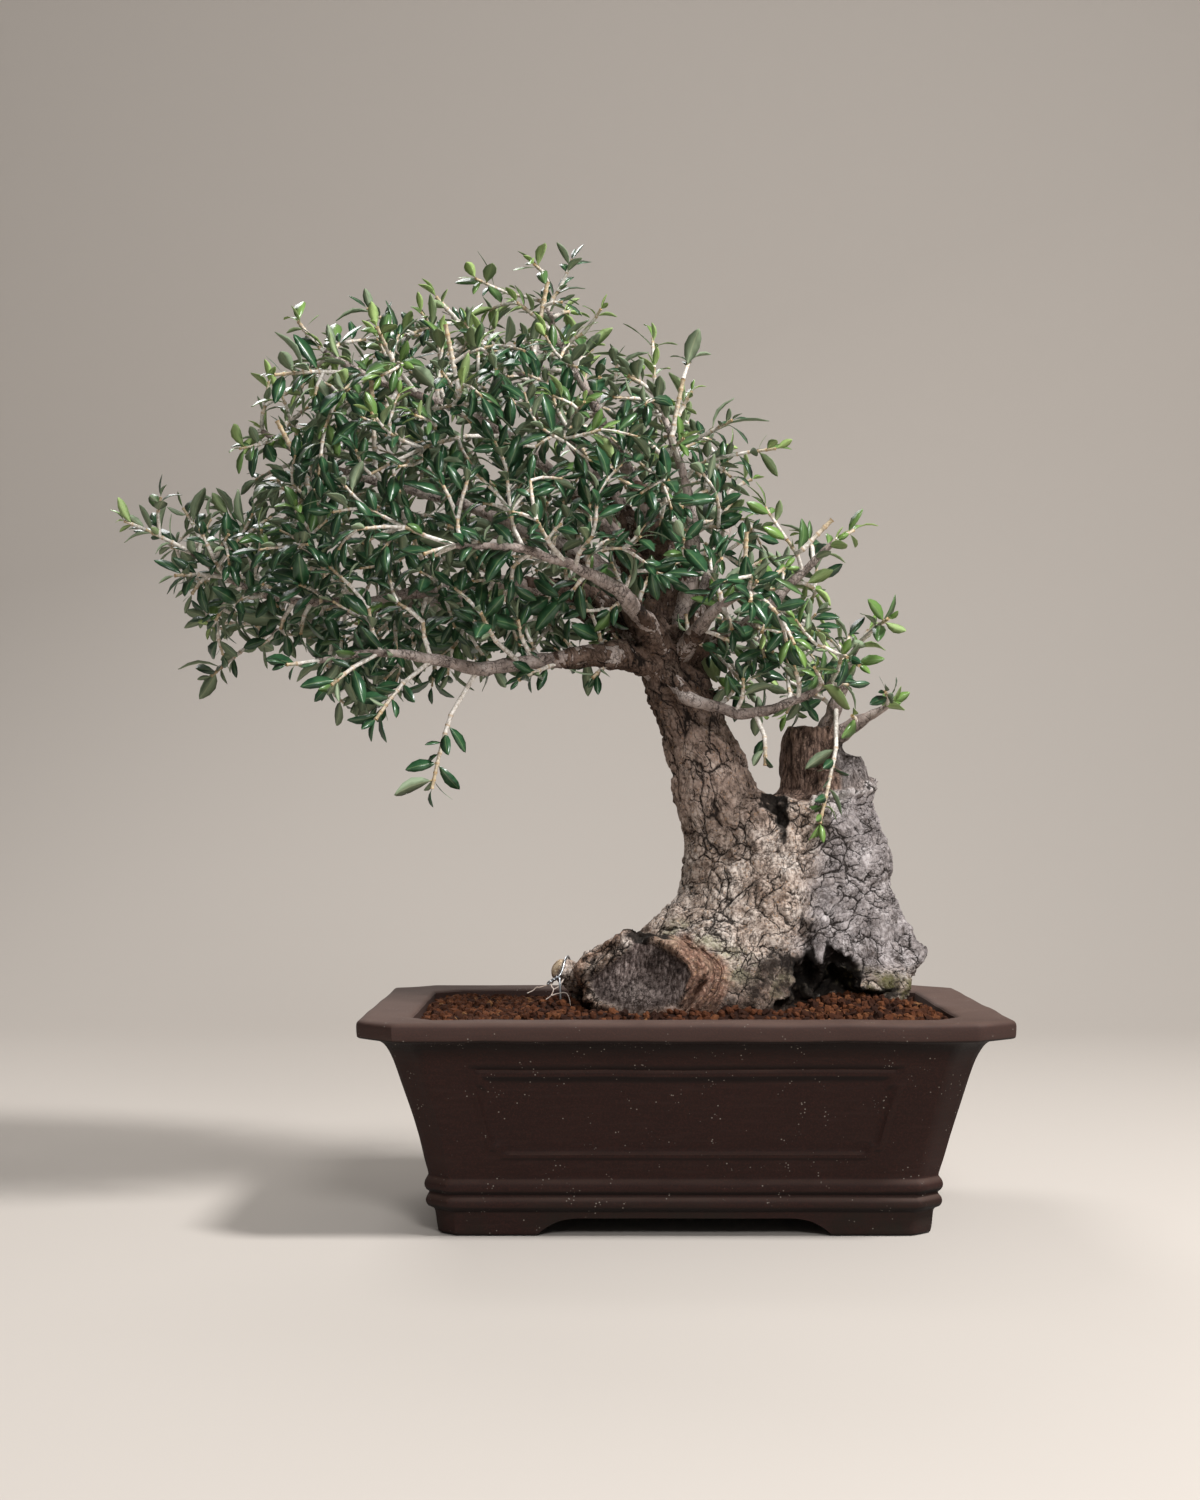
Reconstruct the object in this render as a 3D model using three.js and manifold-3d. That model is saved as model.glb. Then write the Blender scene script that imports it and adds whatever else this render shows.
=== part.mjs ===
// Olive bonsai: a stout wild olive with a leaning trunk, an old cut stump and a windswept
// crown, planted in clay granules in a rectangular stoneware pot on four corner feet.
// Millimetres, +Z up, +X to the viewer's right, +Y to the back. The pot stands on z = 0.
// Everything is laid out about the pot's centre; the last lines centre the whole object.
import * as THREE from "three";
import { mergeVertices } from "three/addons/utils/BufferGeometryUtils.js";
import Module from "manifold-3d";

const wasm = await Module();
wasm.setup();

// ---------------------------------------------------------------- driving dimensions
const POT_LENGTH = 380; // over the rim, along X
const POT_WIDTH = 276; // over the rim, along Y
const POT_HEIGHT = 129;
const RIM_WIDTH = 30; // flat top of the rim
const FLOOR_UNDERSIDE = 10.7; // the foot height
const FLOOR_TOP = 22;
const DRAIN_RADIUS = 12;
const DRAIN_OFFSET = 86; // of each drain hole from the pot's centre, along X
const CLEARANCE = 0.3; // between touching pieces
const SOIL_LEVEL = 122; // of the granules at the pot's wall
const WIRE_RADIUS = 0.8;
const SEED = 20417;

// ---------------------------------------------------------------- solids and booleans
function solidOf(geometry) {
  const bare = new THREE.BufferGeometry().setAttribute(
    "position",
    geometry.getAttribute("position"),
  );
  if (geometry.index) bare.setIndex(geometry.index);
  const merged = mergeVertices(bare, 1e-4);
  return new wasm.Manifold(
    new wasm.Mesh({
      numProp: 3,
      vertProperties: merged.getAttribute("position").array,
      triVerts: new Uint32Array(merged.index.array),
    }),
  );
}

function geometryOf(solid) {
  const mesh = solid.getMesh();
  const geometry = new THREE.BufferGeometry();
  geometry.setAttribute(
    "position",
    new THREE.BufferAttribute(new Float32Array(mesh.vertProperties), 3),
  );
  geometry.setIndex(new THREE.BufferAttribute(new Uint32Array(mesh.triVerts), 1));
  geometry.computeVertexNormals();
  return geometry;
}

function unite(solids) {
  return solids.reduce((whole, solid) => whole.add(solid));
}

// Keeps the largest body, so that a scrap left by a cut is dropped.
function largestBody(solid) {
  return solid.decompose().reduce((a, b) => (b.volume() > a.volume() ? b : a));
}

// Moves every vertex of a three.js geometry: place(x, y, z) gives the new Vector3.
function reshape(geometry, place) {
  const position = geometry.getAttribute("position");
  for (let i = 0; i < position.count; i++) {
    const to = place(position.getX(i), position.getY(i), position.getZ(i));
    position.setXYZ(i, to.x, to.y, to.z);
  }
  return geometry;
}

// A unit cylinder along Z, from z = 0 to z = 1, whose rings the callers move.
function unitTube(sides, segments) {
  return new THREE.CylinderGeometry(1, 1, 1, sides, segments)
    .rotateX(Math.PI / 2)
    .translate(0, 0, 0.5);
}

function ellipsoid(centre, radii, sides = 12) {
  return new THREE.SphereGeometry(1, sides, Math.round(sides * 0.6))
    .scale(...radii)
    .translate(...centre);
}

// ---------------------------------------------------------------- small maths
const vector = (p) => new THREE.Vector3(p[0], p[1], p[2]);
const mix = THREE.MathUtils.lerp;
const RAD2DEG = THREE.MathUtils.RAD2DEG;

// A seeded random source, one for each spray, so that no draw depends on another spray's.
function randomSource(seed) {
  let state = seed >>> 0;
  return () => {
    state = (state + 0x6d2b79f5) >>> 0;
    let t = Math.imul(state ^ (state >>> 15), state | 1);
    t = (t + Math.imul(t ^ (t >>> 7), t | 61)) ^ t;
    return ((t ^ (t >>> 14)) >>> 0) / 4294967296;
  };
}

const span = (random, low, high) => mix(low, high, random());

function curveThrough(points) {
  return new THREE.CatmullRomCurve3(points.map(vector), false, "catmullrom", 0.5);
}

// Frames that turn with the path and don't twist round it.
function framesAlong(points) {
  const frames = [];
  let side = null;
  points.forEach((point, i) => {
    const before = points[Math.max(i - 1, 0)];
    const after = points[Math.min(i + 1, points.length - 1)];
    const tangent = after.clone().sub(before).normalize();
    const hint = side ?? new THREE.Vector3(0.31, 0.95, 0.05);
    side = hint.clone().addScaledVector(tangent, -hint.dot(tangent)).normalize();
    frames.push({ point, side, up: tangent.clone().cross(side), tangent });
  });
  return frames;
}

// A tapering tube through sampled points; radii holds one radius, or [wide, high], a point.
function tubeAlong(points, radii, sides, swell = 0) {
  const frames = framesAlong(points);
  const last = points.length - 1;
  return solidOf(
    reshape(unitTube(sides, last), (x, y, z) => {
      const i = Math.round(z * last);
      const { point, side, up } = frames[i];
      const [wide, high] = [radii[i]].flat();
      return point
        .clone()
        .addScaledVector(side, x * (wide + swell))
        .addScaledVector(up, y * ((high ?? wide) + swell));
    }),
  );
}

// ---------------------------------------------------------------- the pot
// Outer wall from the foot up: [height, inset from the rim's edge, corner cut].
const POT_PROFILE = [
  [0, 46, 10],
  [1.5, 44.5, 11],
  [13.5, 43, 12],
  [15.5, 40, 13],
  [18.5, 38.2, 13.5],
  [22.5, 38.2, 13.5],
  [25, 39.6, 13],
  [27.5, 37.6, 13.5],
  [32, 37.4, 13.5],
  [34.5, 39.2, 13],
  [45, 37, 13.5],
  [61, 33.2, 14.5],
  [78, 28.4, 15.5],
  [94, 23.4, 17],
  [106, 18.4, 18.5],
  [113, 13.5, 20],
  [116.5, 7, 22],
  [119, 2.2, 22.5],
  [121.5, 0.4, 22.5],
  [125.5, 0, 22.5],
  [128, 1, 22],
  [129, 3, 21],
];
// Inner wall from the floor up.
const POT_CAVITY = [
  [FLOOR_TOP, 58, 6],
  [26, 52, 10],
  [50, 46, 12],
  [78, 39.5, 13],
  [106, 32.5, 14],
  [125, RIM_WIDTH + 1, 14],
  [129, RIM_WIDTH, 14.5],
  [131, RIM_WIDTH, 14.5],
];
const PANEL_DEPTH = 1.4;

// A stack of cut-cornered rectangles. shrink insets every level alike.
function cornerCutStack(levels, shrink = 0) {
  const outline = new THREE.Shape();
  outline.moveTo(1, -0.5).lineTo(1, 0.5).lineTo(0.5, 1).lineTo(-0.5, 1);
  outline.lineTo(-1, 0.5).lineTo(-1, -0.5).lineTo(-0.5, -1).lineTo(0.5, -1);
  const steps = levels.length - 1;
  const stack = new THREE.ExtrudeGeometry(outline, { depth: 1, steps, bevelEnabled: false });
  return solidOf(
    reshape(stack, (x, y, z) => {
      const [height, inset, cut] = levels[Math.round(z * steps)];
      const halfX = POT_LENGTH / 2 - inset - shrink;
      const halfY = POT_WIDTH / 2 - inset - shrink;
      const onEnd = Math.abs(x) > Math.abs(y);
      return new THREE.Vector3(
        Math.sign(x) * (onEnd ? halfX : halfX - cut),
        Math.sign(y) * (onEnd ? halfY - cut : halfY),
        height,
      );
    }),
  );
}

// A prism across the pot: its outline lies in the X-Z plane, or in Y-Z where turned.
function crossPrism(points, turned) {
  const shape = new THREE.Shape(points.map(([x, z]) => new THREE.Vector2(x, z)));
  const prism = new THREE.ExtrudeGeometry(shape, { depth: 400, bevelEnabled: false });
  prism.translate(0, 0, -200).rotateX(Math.PI / 2);
  if (turned) prism.rotateZ(Math.PI / 2);
  return solidOf(prism);
}

// The gap between two feet, with its ends sloped in an ogee.
function footGap(halfTop, halfBottom, turned) {
  const side = [
    [halfBottom, -1],
    [halfBottom - 1, 1.5],
    [mix(halfTop, halfBottom, 0.45), 5.5],
    [halfTop + 1.5, FLOOR_UNDERSIDE - 1.2],
    [halfTop - 5, FLOOR_UNDERSIDE],
  ];
  const mirrored = side.map(([x, z]) => [-x, z]).reverse();
  return crossPrism([...side, ...mirrored], turned);
}

// A framed panel pressed into two opposite walls.
function panelRecess(halfLow, halfHigh, turned) {
  const low = 46;
  const high = 97;
  const notch = 4;
  const right = [
    [halfLow, low],
    [halfLow, low + notch],
    [halfLow + notch, low + notch],
    [halfHigh + notch, high - notch],
    [halfHigh, high - notch],
    [halfHigh, high],
  ];
  const left = right.map(([x, z]) => [-x, z]).reverse();
  const band = crossPrism([...right, ...left], turned);
  return band.subtract(cornerCutStack(POT_PROFILE, PANEL_DEPTH));
}

function drainHole(side) {
  return solidOf(
    unitTube(16, 1)
      .scale(DRAIN_RADIUS, DRAIN_RADIUS, 30)
      .translate(side * DRAIN_OFFSET, 0, 0),
  );
}

function makePot() {
  const cuts = [
    cornerCutStack(POT_CAVITY),
    footGap(70, 92, false),
    footGap(36, 54, true),
    panelRecess(118, 131, false),
    panelRecess(67, 80, true),
    drainHole(-1),
    drainHole(1),
  ];
  return cuts.reduce((pot, cut) => pot.subtract(cut), cornerCutStack(POT_PROFILE));
}

// ---------------------------------------------------------------- drain mesh
// A square of coarse plastic mesh that lies on the floor over a drain hole.
const MESH_SIDE = 38;
const MESH_THICKNESS = 1.4;
const MESH_OPENINGS = 3; // in each row
const MESH_BAR = 3;

function drainMesh(side) {
  const pitch = (MESH_SIDE - MESH_BAR) / MESH_OPENINGS;
  const height = FLOOR_TOP + CLEARANCE + MESH_THICKNESS / 2;
  const block = (size, depth, x, y) =>
    solidOf(
      new THREE.BoxGeometry(size, size, depth).translate(side * DRAIN_OFFSET + x, y, height),
    );
  let mesh = block(MESH_SIDE, MESH_THICKNESS, 0, 0);
  for (let i = 0; i < MESH_OPENINGS; i++) {
    for (let j = 0; j < MESH_OPENINGS; j++) {
      const [x, y] = [i, j].map((n) => (n - (MESH_OPENINGS - 1) / 2) * pitch);
      mesh = mesh.subtract(block(pitch - MESH_BAR, MESH_THICKNESS * 2, x, y));
    }
  }
  return mesh;
}

// ---------------------------------------------------------------- the trunk
// Level ellipses from the bottom up: [height, centre x, centre y, half width, half depth].
const ROOT_BASE = [
  [62, 36, 4, 42, 30],
  [92, 36, 0, 84, 54],
  [114, 37, -4, 97, 64],
  [124, 39, -5, 99, 66],
  [133, 41, -5, 99, 65],
  [142, 44, -5, 97, 62],
  [152, 48, -4, 92, 58],
  [162, 53, -4, 86, 55],
  [171, 57, -3, 80, 53],
  [187, 64, -2, 71, 50],
  [205, 66, 0, 65, 46],
  [224, 67, 2, 61, 43],
  [243, 64, 2, 57, 39],
  [254, 61, 2, 50, 33],
  [261, 62, 2, 32, 21],
];
const LEANING_TRUNK = [
  [196, 38, -3, 36, 36],
  [224, 34, -2, 30, 32],
  [243, 31, -1, 28.5, 29],
  [262, 23, 0, 26, 26],
  [281, 17, 0, 23.5, 24],
  [300, 9, 0, 21, 22],
  [318, 3, 0, 21, 21],
  [332, -3, 0, 20, 20],
  [346, -8, 0, 17, 18],
  [356, -10, 1, 12, 13],
];
const OLD_STUMP = [
  [208, 98, 3, 34, 38],
  [226, 98, 4, 33, 35],
  [243, 96, 4, 29, 31],
  [255, 94, 4, 28, 29],
  [268, 96, 4, 26.5, 28],
  [277, 96, 4, 24, 26],
];
const DEAD_SNAG = [
  [262, 84, 6, 21, 20],
  [278, 83, 6, 21, 19],
  [292, 84, 6, 20.5, 18],
  [303, 85, 5, 18, 15],
];
const SNAG_SHOULDER = [
  [262, 110, 4, 12, 15],
  [276, 110, 5, 11, 13],
  [286, 109, 5, 7, 9],
];

// Burrs, root knees and hollows of the base: [turn in degrees, height, half width in
// degrees, half height, how far the surface stands out].
const ROOT_BUMPS = [
  [-3, 160, 13, 13, 15], // bark burr at the right edge
  [-24, 140, 12, 14, 7],
  [-62, 136, 12, 18, 9],
  [-96, 142, 12, 22, 10], // rolled callus beside the big cut
  [186, 138, 14, 16, 8],
  [207, 160, 14, 14, 9], // bark lip over the big cut
  [150, 132, 15, 20, 8],
  [112, 138, 14, 22, 9], // root knees at the back
  [68, 136, 14, 20, 8],
  [30, 142, 13, 18, 7],
  [128, 176, 16, 20, -5],
  [52, 176, 18, 20, -4],
  [-75, 196, 10, 34, -5], // long furrows between the two stems
  [92, 214, 12, 40, -7],
];

// A knobbly column of level ellipses; swell grows it for the clearance cuts.
function column(rings, sides, flutes, swell = 0, bumps = []) {
  const last = rings.length - 1;
  return solidOf(
    reshape(unitTube(sides, last), (x, y, z) => {
      const [height, cx, cy, halfWidth, halfDepth] = rings[Math.round(z * last)];
      const turn = Math.atan2(y, x);
      const ripple =
        1 +
        flutes * Math.sin(3 * turn + height * 0.045) +
        flutes * 0.7 * Math.sin(7 * turn - height * 0.06);
      const raised = bumps.reduce((sum, [degrees, level, spread, tall, out]) => {
        const off = THREE.MathUtils.euclideanModulo(turn * RAD2DEG - degrees + 180, 360) - 180;
        return sum + out * Math.exp(-((off / spread) ** 2) - ((height - level) / tall) ** 2);
      }, swell);
      const end = z < 1e-6 ? -swell : z > 1 - 1e-6 ? swell : 0;
      return new THREE.Vector3(
        cx + x * (halfWidth * ripple + raised),
        cy + y * (halfDepth * ripple + raised),
        height + end,
      );
    }),
  );
}

// Hollows rotted into the base: [middle, half sizes].
const HOLLOWS = [
  [[93, -58, 152], [21, 26, 17]], // under the old stump
  [[-12, -54, 174], [14, 14, 5.5]], // between the sawn root and the bark over it
];
// The sawn root at the front left: the middle of its face, how far its face is turned and
// tipped back in degrees, and its half width and half height at the face and inside.
const BIG_CUT = { face: [-27, -64, 151], turned: -24, tipped: 12, length: 62 };
const BIG_CUT_SIZE = [[37, 22], [40, 25], [30, 24]];
const CUT_ROOT = {
  path: [[-52, -18, 134], [-66, -24, 142], [-77, -28, 149]],
  radii: [9, 6.5, 5],
};

// ---------------------------------------------------------------- the limbs
// [x, y, z, radius] from the trunk outwards.
const LIMBS = {
  low_front: [
    [-8, -6, 338, 10], [-42, -25, 345, 7.3], [-80, -45, 340, 5.2], [-122, -60, 335, 4.1],
    [-150, -75, 339, 3.1], [-182, -88, 342, 2.2], [-214, -92, 337, 1.7],
  ],
  low_back: [
    [-8, 8, 342, 10], [-50, 30, 374, 6.9], [-89, 48, 385, 4.8], [-135, 62, 387, 3.7],
    [-189, 75, 384, 2.8], [-235, 80, 376, 2.1], [-270, 80, 366, 1.7],
  ],
  long_left: [
    [-10, 0, 348, 11], [-50, -5, 379, 6.9], [-99, -12, 390, 4.8], [-149, -18, 386, 3.8],
    [-192, -22, 379, 3.1], [-235, -22, 378, 2.5], [-272, -20, 388, 1.9], [-303, -15, 409, 1.7],
  ],
  mid_left: [
    [-12, 4, 352, 9], [-50, 12, 401, 6], [-94, 18, 426, 4.1], [-145, 24, 446, 3.3],
    [-197, 26, 460, 2.4], [-238, 24, 474, 1.8], [-265, 20, 491, 1.7],
  ],
  up_left: [
    [-8, -2, 350, 9], [-37, -12, 414, 6], [-74, -25, 453, 4.1], [-111, -35, 481, 3.3],
    [-153, -42, 499, 2.4], [-189, -44, 512, 1.8], [-217, -44, 528, 1.7],
  ],
  up_back: [
    [-6, 6, 350, 9], [-24, 28, 422, 5.8], [-56, 40, 468, 3.8], [-82, 46, 507, 2.8],
    [-109, 44, 539, 1.9], [-140, 38, 563, 1.7],
  ],
  apex: [
    [-4, 0, 350, 9], [-12, 0, 419, 6], [-36, -5, 468, 4], [-55, -10, 505, 3],
    [-73, -12, 535, 2.1], [-82, -12, 561, 1.7],
  ],
  up_right: [
    [-2, -4, 348, 8], [7, -12, 405, 5.2], [6, -18, 441, 3.4], [-5, -22, 478, 2.4],
    [-15, -24, 505, 1.7],
  ],
  right_up: [
    [-2, 6, 346, 8], [23, 24, 402, 4.8], [31, 36, 442, 2.8], [28, 42, 474, 1.7],
  ],
  right: [
    [-2, -4, 344, 8], [40, -20, 363, 5], [62, -30, 383, 3.4], [80, -36, 401, 2.5],
    [94, -38, 414, 1.7],
  ],
  crossing: [
    [-10, -12, 338, 6.5], [5, -33, 319, 4.3], [37, -45, 308, 3.4], [66, -50, 315, 2.7],
    [90, -52, 327, 1.7],
  ],
  stump_up: [
    [90, 4, 294, 7], [99, 0, 318, 4.3], [106, -6, 342, 2.5], [113, -10, 355, 1.7],
  ],
  stump_right: [
    [98, 2, 294, 6], [118, -6, 308, 3.1], [129, -12, 315, 1.7],
  ],
  back: [
    [-6, 10, 346, 8], [-24, 58, 394, 5], [-57, 92, 416, 3.3], [-97, 112, 430, 2.4],
    [-144, 120, 438, 1.7],
  ],
  front: [
    [-8, -10, 344, 8], [-32, -52, 376, 5], [-61, -82, 391, 3.3], [-96, -104, 401, 2.4],
    [-133, -114, 402, 1.7],
  ],
  back_right: [
    [-2, 8, 344, 7], [28, 52, 384, 3.4], [57, 78, 401, 1.7],
  ],
  front_right: [
    [-2, -8, 344, 7], [20, -58, 369, 3.4], [38, -82, 379, 1.7],
  ],
};
const LIMB_SIDES = 5;
const STEPS_PER_SPAN = 1;

// Sampled centreline and radii of a limb.
function limbLine(name) {
  const knots = LIMBS[name];
  const curve = curveThrough(knots);
  const count = (knots.length - 1) * STEPS_PER_SPAN;
  const points = [];
  const radii = [];
  for (let i = 0; i <= count; i++) {
    const u = i / count;
    const at = u * (knots.length - 1);
    const k = Math.min(Math.floor(at), knots.length - 2);
    points.push(curve.getPoint(u));
    radii.push(mix(knots[k][3], knots[k + 1][3], at - k));
  }
  return { curve, points, radii };
}

// The face stands slightly within the rim of healing bark behind it.
function bigCut(swell) {
  const last = BIG_CUT_SIZE.length - 1;
  const stub = reshape(unitTube(13, last), (x, y, z) => {
    const i = Math.round(z * last);
    const [halfWidth, halfHeight] = BIG_CUT_SIZE[i];
    const back = i === 0 ? -swell : i === 1 ? 5 : BIG_CUT.length;
    return new THREE.Vector3(x * (halfWidth + swell), back, y * (halfHeight + swell));
  });
  stub.index.array.reverse();
  stub.rotateX(-BIG_CUT.tipped / RAD2DEG).rotateZ(BIG_CUT.turned / RAD2DEG);
  return solidOf(stub.translate(...BIG_CUT.face));
}

function makeWood(swell = 0) {
  const pieces = [
    column(ROOT_BASE, 26, 0.02, swell, ROOT_BUMPS),
    column(LEANING_TRUNK, 12, 0.035, swell),
    column(OLD_STUMP, 12, 0.04, swell),
    column(DEAD_SNAG, 10, 0.05, swell),
    column(SNAG_SHOULDER, 8, 0.05, swell),
    bigCut(swell),
    tubeAlong(CUT_ROOT.path.map(vector), CUT_ROOT.radii, 7, swell),
  ];
  for (const name of Object.keys(LIMBS)) {
    const { points, radii } = limbLine(name);
    pieces.push(tubeAlong(points, radii, LIMB_SIDES, swell));
  }
  const wood = unite(pieces);
  if (swell) return wood;
  return HOLLOWS.reduce((rest, hollow) => rest.subtract(solidOf(ellipsoid(...hollow, 10))), wood);
}

// ---------------------------------------------------------------- the sprays
// Each leafy spray: [limb it grows from, share of the way along it, tip of its last leaf].
const SPRAYS = [
  ["long_left", 1.0, [-345, -15, 430]],
  ["long_left", 0.9, [-322, -45, 392]],
  ["long_left", 0.78, [-281, 12, 440]],
  ["long_left", 0.6, [-228, -62, 412]],
  ["long_left", 0.42, [-170, -52, 430]],
  ["low_back", 1.0, [-318, 70, 328]],
  ["low_back", 0.88, [-328, 104, 376]],
  ["low_back", 0.66, [-253, 116, 412]],
  ["low_back", 0.34, [-138, 100, 416]],
  ["low_front", 1.0, [-246, -106, 332]],
  ["low_front", 0.82, [-216, -112, 314]],
  ["low_front", 0.66, [-190, -100, 292]],
  ["low_front", 0.5, [-155, -72, 248]],
  ["low_front", 0.4, [-125, -108, 372]],
  ["low_front", 0.28, [-109, -74, 322]],
  ["low_front", 0.14, [-64, -46, 322]],
  ["mid_left", 1.0, [-282, 15, 478]],
  ["mid_left", 0.82, [-288, 52, 457]],
  ["mid_left", 0.64, [-245, 52, 510]],
  ["mid_left", 0.44, [-180, 72, 488]],
  ["up_left", 1.0, [-232, -46, 540]],
  ["up_left", 0.86, [-260, -62, 510]],
  ["up_left", 0.7, [-190, -72, 550]],
  ["up_left", 0.48, [-165, -92, 460]],
  ["up_back", 1.0, [-157, 42, 576]],
  ["up_back", 0.82, [-190, 72, 566]],
  ["up_back", 0.6, [-157, 104, 522]],
  ["up_back", 0.42, [-76, 92, 522]],
  ["apex", 1.0, [-68, -14, 584]],
  ["apex", 0.86, [-112, -32, 570]],
  ["apex", 0.7, [-50, 22, 550]],
  ["apex", 0.46, [-76, -76, 478]],
  ["up_right", 1.0, [-18, -30, 536]],
  ["up_right", 0.76, [13, -20, 522]],
  ["up_right", 0.4, [-16, -76, 436]],
  ["right_up", 1.0, [38, 50, 494]],
  ["right_up", 0.76, [61, 38, 470]],
  ["right_up", 0.44, [12, 96, 452]],
  ["right", 1.0, [106, -42, 424]],
  ["right", 0.66, [57, -50, 426]],
  ["right", 0.36, [46, -76, 350]],
  ["crossing", 1.0, [98, -76, 352]],
  ["crossing", 0.56, [52, -62, 262]],
  ["stump_up", 1.0, [126, -12, 374]],
  ["stump_up", 0.3, [82, -44, 228]],
  ["stump_right", 1.0, [142, -22, 322]],
  ["back", 1.0, [-184, 126, 440]],
  ["back", 0.56, [-104, 132, 478]],
  ["front", 1.0, [-164, -126, 392]],
  ["front", 0.56, [-92, -132, 424]],
  ["back_right", 1.0, [84, 90, 406]],
  ["front_right", 1.0, [50, -100, 392]],
  ["long_left", 0.5, [-192, 30, 418]],
  ["mid_left", 0.5, [-172, -22, 404]],
];
const STEM_RADIUS = [1.7, 1.15];
const SHOOT_RADIUS = [1.15, 1];
const NODE_LENGTH = 1.7; // of the swelling that a pair of leaves or shoots grows from
const STEM_NODES = [0.42, 0.7, 0.96]; // shares of the way along a stem
const SHOOT_NODES = [0.5, 1];
const SHOOT_LENGTH = [24, 34];
const SHOOT_CHANCE = 0.62; // against a leaf, at each place below the stem's end
const LEAF_LENGTH = [16, 25];
const LEAF_SLENDERNESS = 0.36; // width over length
const LEAF_REACH = 21; // of the last leaves beyond their stem
const LEAF_THICKNESS = 1.3;
const LEAF_ARCH = 0.1; // height of the arch over length
const LEAF_ROOM = 0.35; // between a leaf and what it must not touch

// The stem leaves its limb between the limb's own way and the way to its tip.
function stemCurve([limb, share, tip]) {
  const { curve } = limbLine(limb);
  const start = curve.getPoint(share);
  const toward = vector(tip).sub(start).normalize();
  const end = vector(tip).addScaledVector(toward, -LEAF_REACH);
  const away = curve.getTangent(share).add(toward).normalize();
  const bend = start.clone().addScaledVector(away, start.distanceTo(end) * 0.4);
  return new THREE.QuadraticBezierCurve3(start, bend, end);
}

// Distance between two segments.
function segmentGap(a, b, c, d) {
  const u = b.clone().sub(a);
  const v = d.clone().sub(c);
  const w = a.clone().sub(c);
  const [uu, uv, vv] = [u.dot(u), u.dot(v), v.dot(v)];
  const [uw, vw] = [u.dot(w), v.dot(w)];
  const det = uu * vv - uv * uv;
  const clamp = (x) => Math.min(Math.max(x, 0), 1);
  let s = det > 1e-9 ? clamp((uv * vw - vv * uw) / det) : 0;
  const t = clamp((uv * s + vw) / vv);
  s = clamp((uv * t - uw) / uu);
  return w.addScaledVector(u, s).addScaledVector(v, -t).length();
}

// Everything that stands in the crown so far: { owner, kind, from, to, radius }.
const placed = [];

function placeLine(owner, kind, points, radii) {
  for (let i = 0; i + 1 < points.length; i++) {
    const radius = Math.max(radii[i], radii[i + 1]);
    placed.push({ owner, kind, from: points[i], to: points[i + 1], radius });
  }
}

// Own stems don't count: what grows from a stem starts on it.
function isClear(owner, from, to, radius) {
  return placed.every(
    (other) =>
      (other.owner === owner && other.kind === "stem") ||
      segmentGap(from, to, other.from, other.to) > radius + other.radius + LEAF_ROOM,
  );
}

// A spray's skin: corners, and faces as triples of corner numbers seen from outside.
function emptySkin() {
  return { corners: [], faces: [] };
}

function addLoop(skin, points) {
  return points.map((point) => skin.corners.push(point) - 1);
}

// Four corners square to the path; the faces between two such loops look along
// up, -side, -up and side.
function addRing(skin, { point, side, up }, radius) {
  const half = radius * Math.SQRT1_2;
  const corners = [[1, 1], [-1, 1], [-1, -1], [1, -1]];
  return addLoop(
    skin,
    corners.map(([x, y]) =>
      point.clone().addScaledVector(side, x * half).addScaledVector(up, y * half),
    ),
  );
}

// Joins two loops with a band of triangles, the near one turned to face the far one best.
function joinLoops(skin, near, far) {
  const [n, m] = [near.length, far.length];
  const gap = (a, b) => skin.corners[a].distanceTo(skin.corners[b]);
  const turnedBy = (turn) => near.map((_, k) => near[(k + turn) % n]);
  const slack = (loop) =>
    loop.reduce((sum, corner, k) => sum + gap(corner, far[Math.round((k * m) / n) % m]), 0);
  const start = near.map((_, turn) => turnedBy(turn)).sort((a, b) => slack(a) - slack(b))[0];
  let [i, j] = [0, 0];
  while (i < n || j < m) {
    const [a, b] = [start[i % n], far[j % m]];
    const [nextA, nextB] = [start[(i + 1) % n], far[(j + 1) % m]];
    const lead = (i + 1) / n - (j + 1) / m;
    const stepNear = Math.abs(lead) < 1e-6 ? gap(nextA, b) < gap(a, nextB) : lead < 0;
    skin.faces.push(stepNear ? [a, nextA, b] : [a, nextB, b]);
    if (stepNear) i++;
    else j++;
  }
}

function closeLoop(skin, loop) {
  for (let k = 1; k + 1 < loop.length; k++) skin.faces.push([loop[0], loop[k], loop[k + 1]]);
}

// A thin arched blade raised from a loop, keeled below its midrib.
function raiseLeaf(skin, foot, root, way, length) {
  const sky = new THREE.Vector3(0, -0.3, 1);
  const face = sky.addScaledVector(way, -sky.dot(way)).normalize();
  const across = way.clone().cross(face).normalize();
  const half = (length * LEAF_SLENDERNESS) / 2;
  const spine = root
    .clone()
    .addScaledVector(way, 0.45 * length)
    .addScaledVector(face, LEAF_ARCH * length);
  const widest = addLoop(skin, [
    spine.clone().addScaledVector(across, half),
    spine.clone().addScaledVector(face, -LEAF_THICKNESS),
    spine.clone().addScaledVector(across, -half),
  ]);
  const [tip] = addLoop(skin, [root.clone().addScaledVector(way, length)]);
  joinLoops(skin, foot, widest);
  widest.forEach((corner, k) => skin.faces.push([corner, widest[(k + 1) % 3], tip]));
}

const LEANS_TRIED = [[0, 0], [0.25, 0], [-0.25, 0], [0, 0.4], [0, -0.4], [0.2, 0.7], [0.2, -0.7]];

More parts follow.
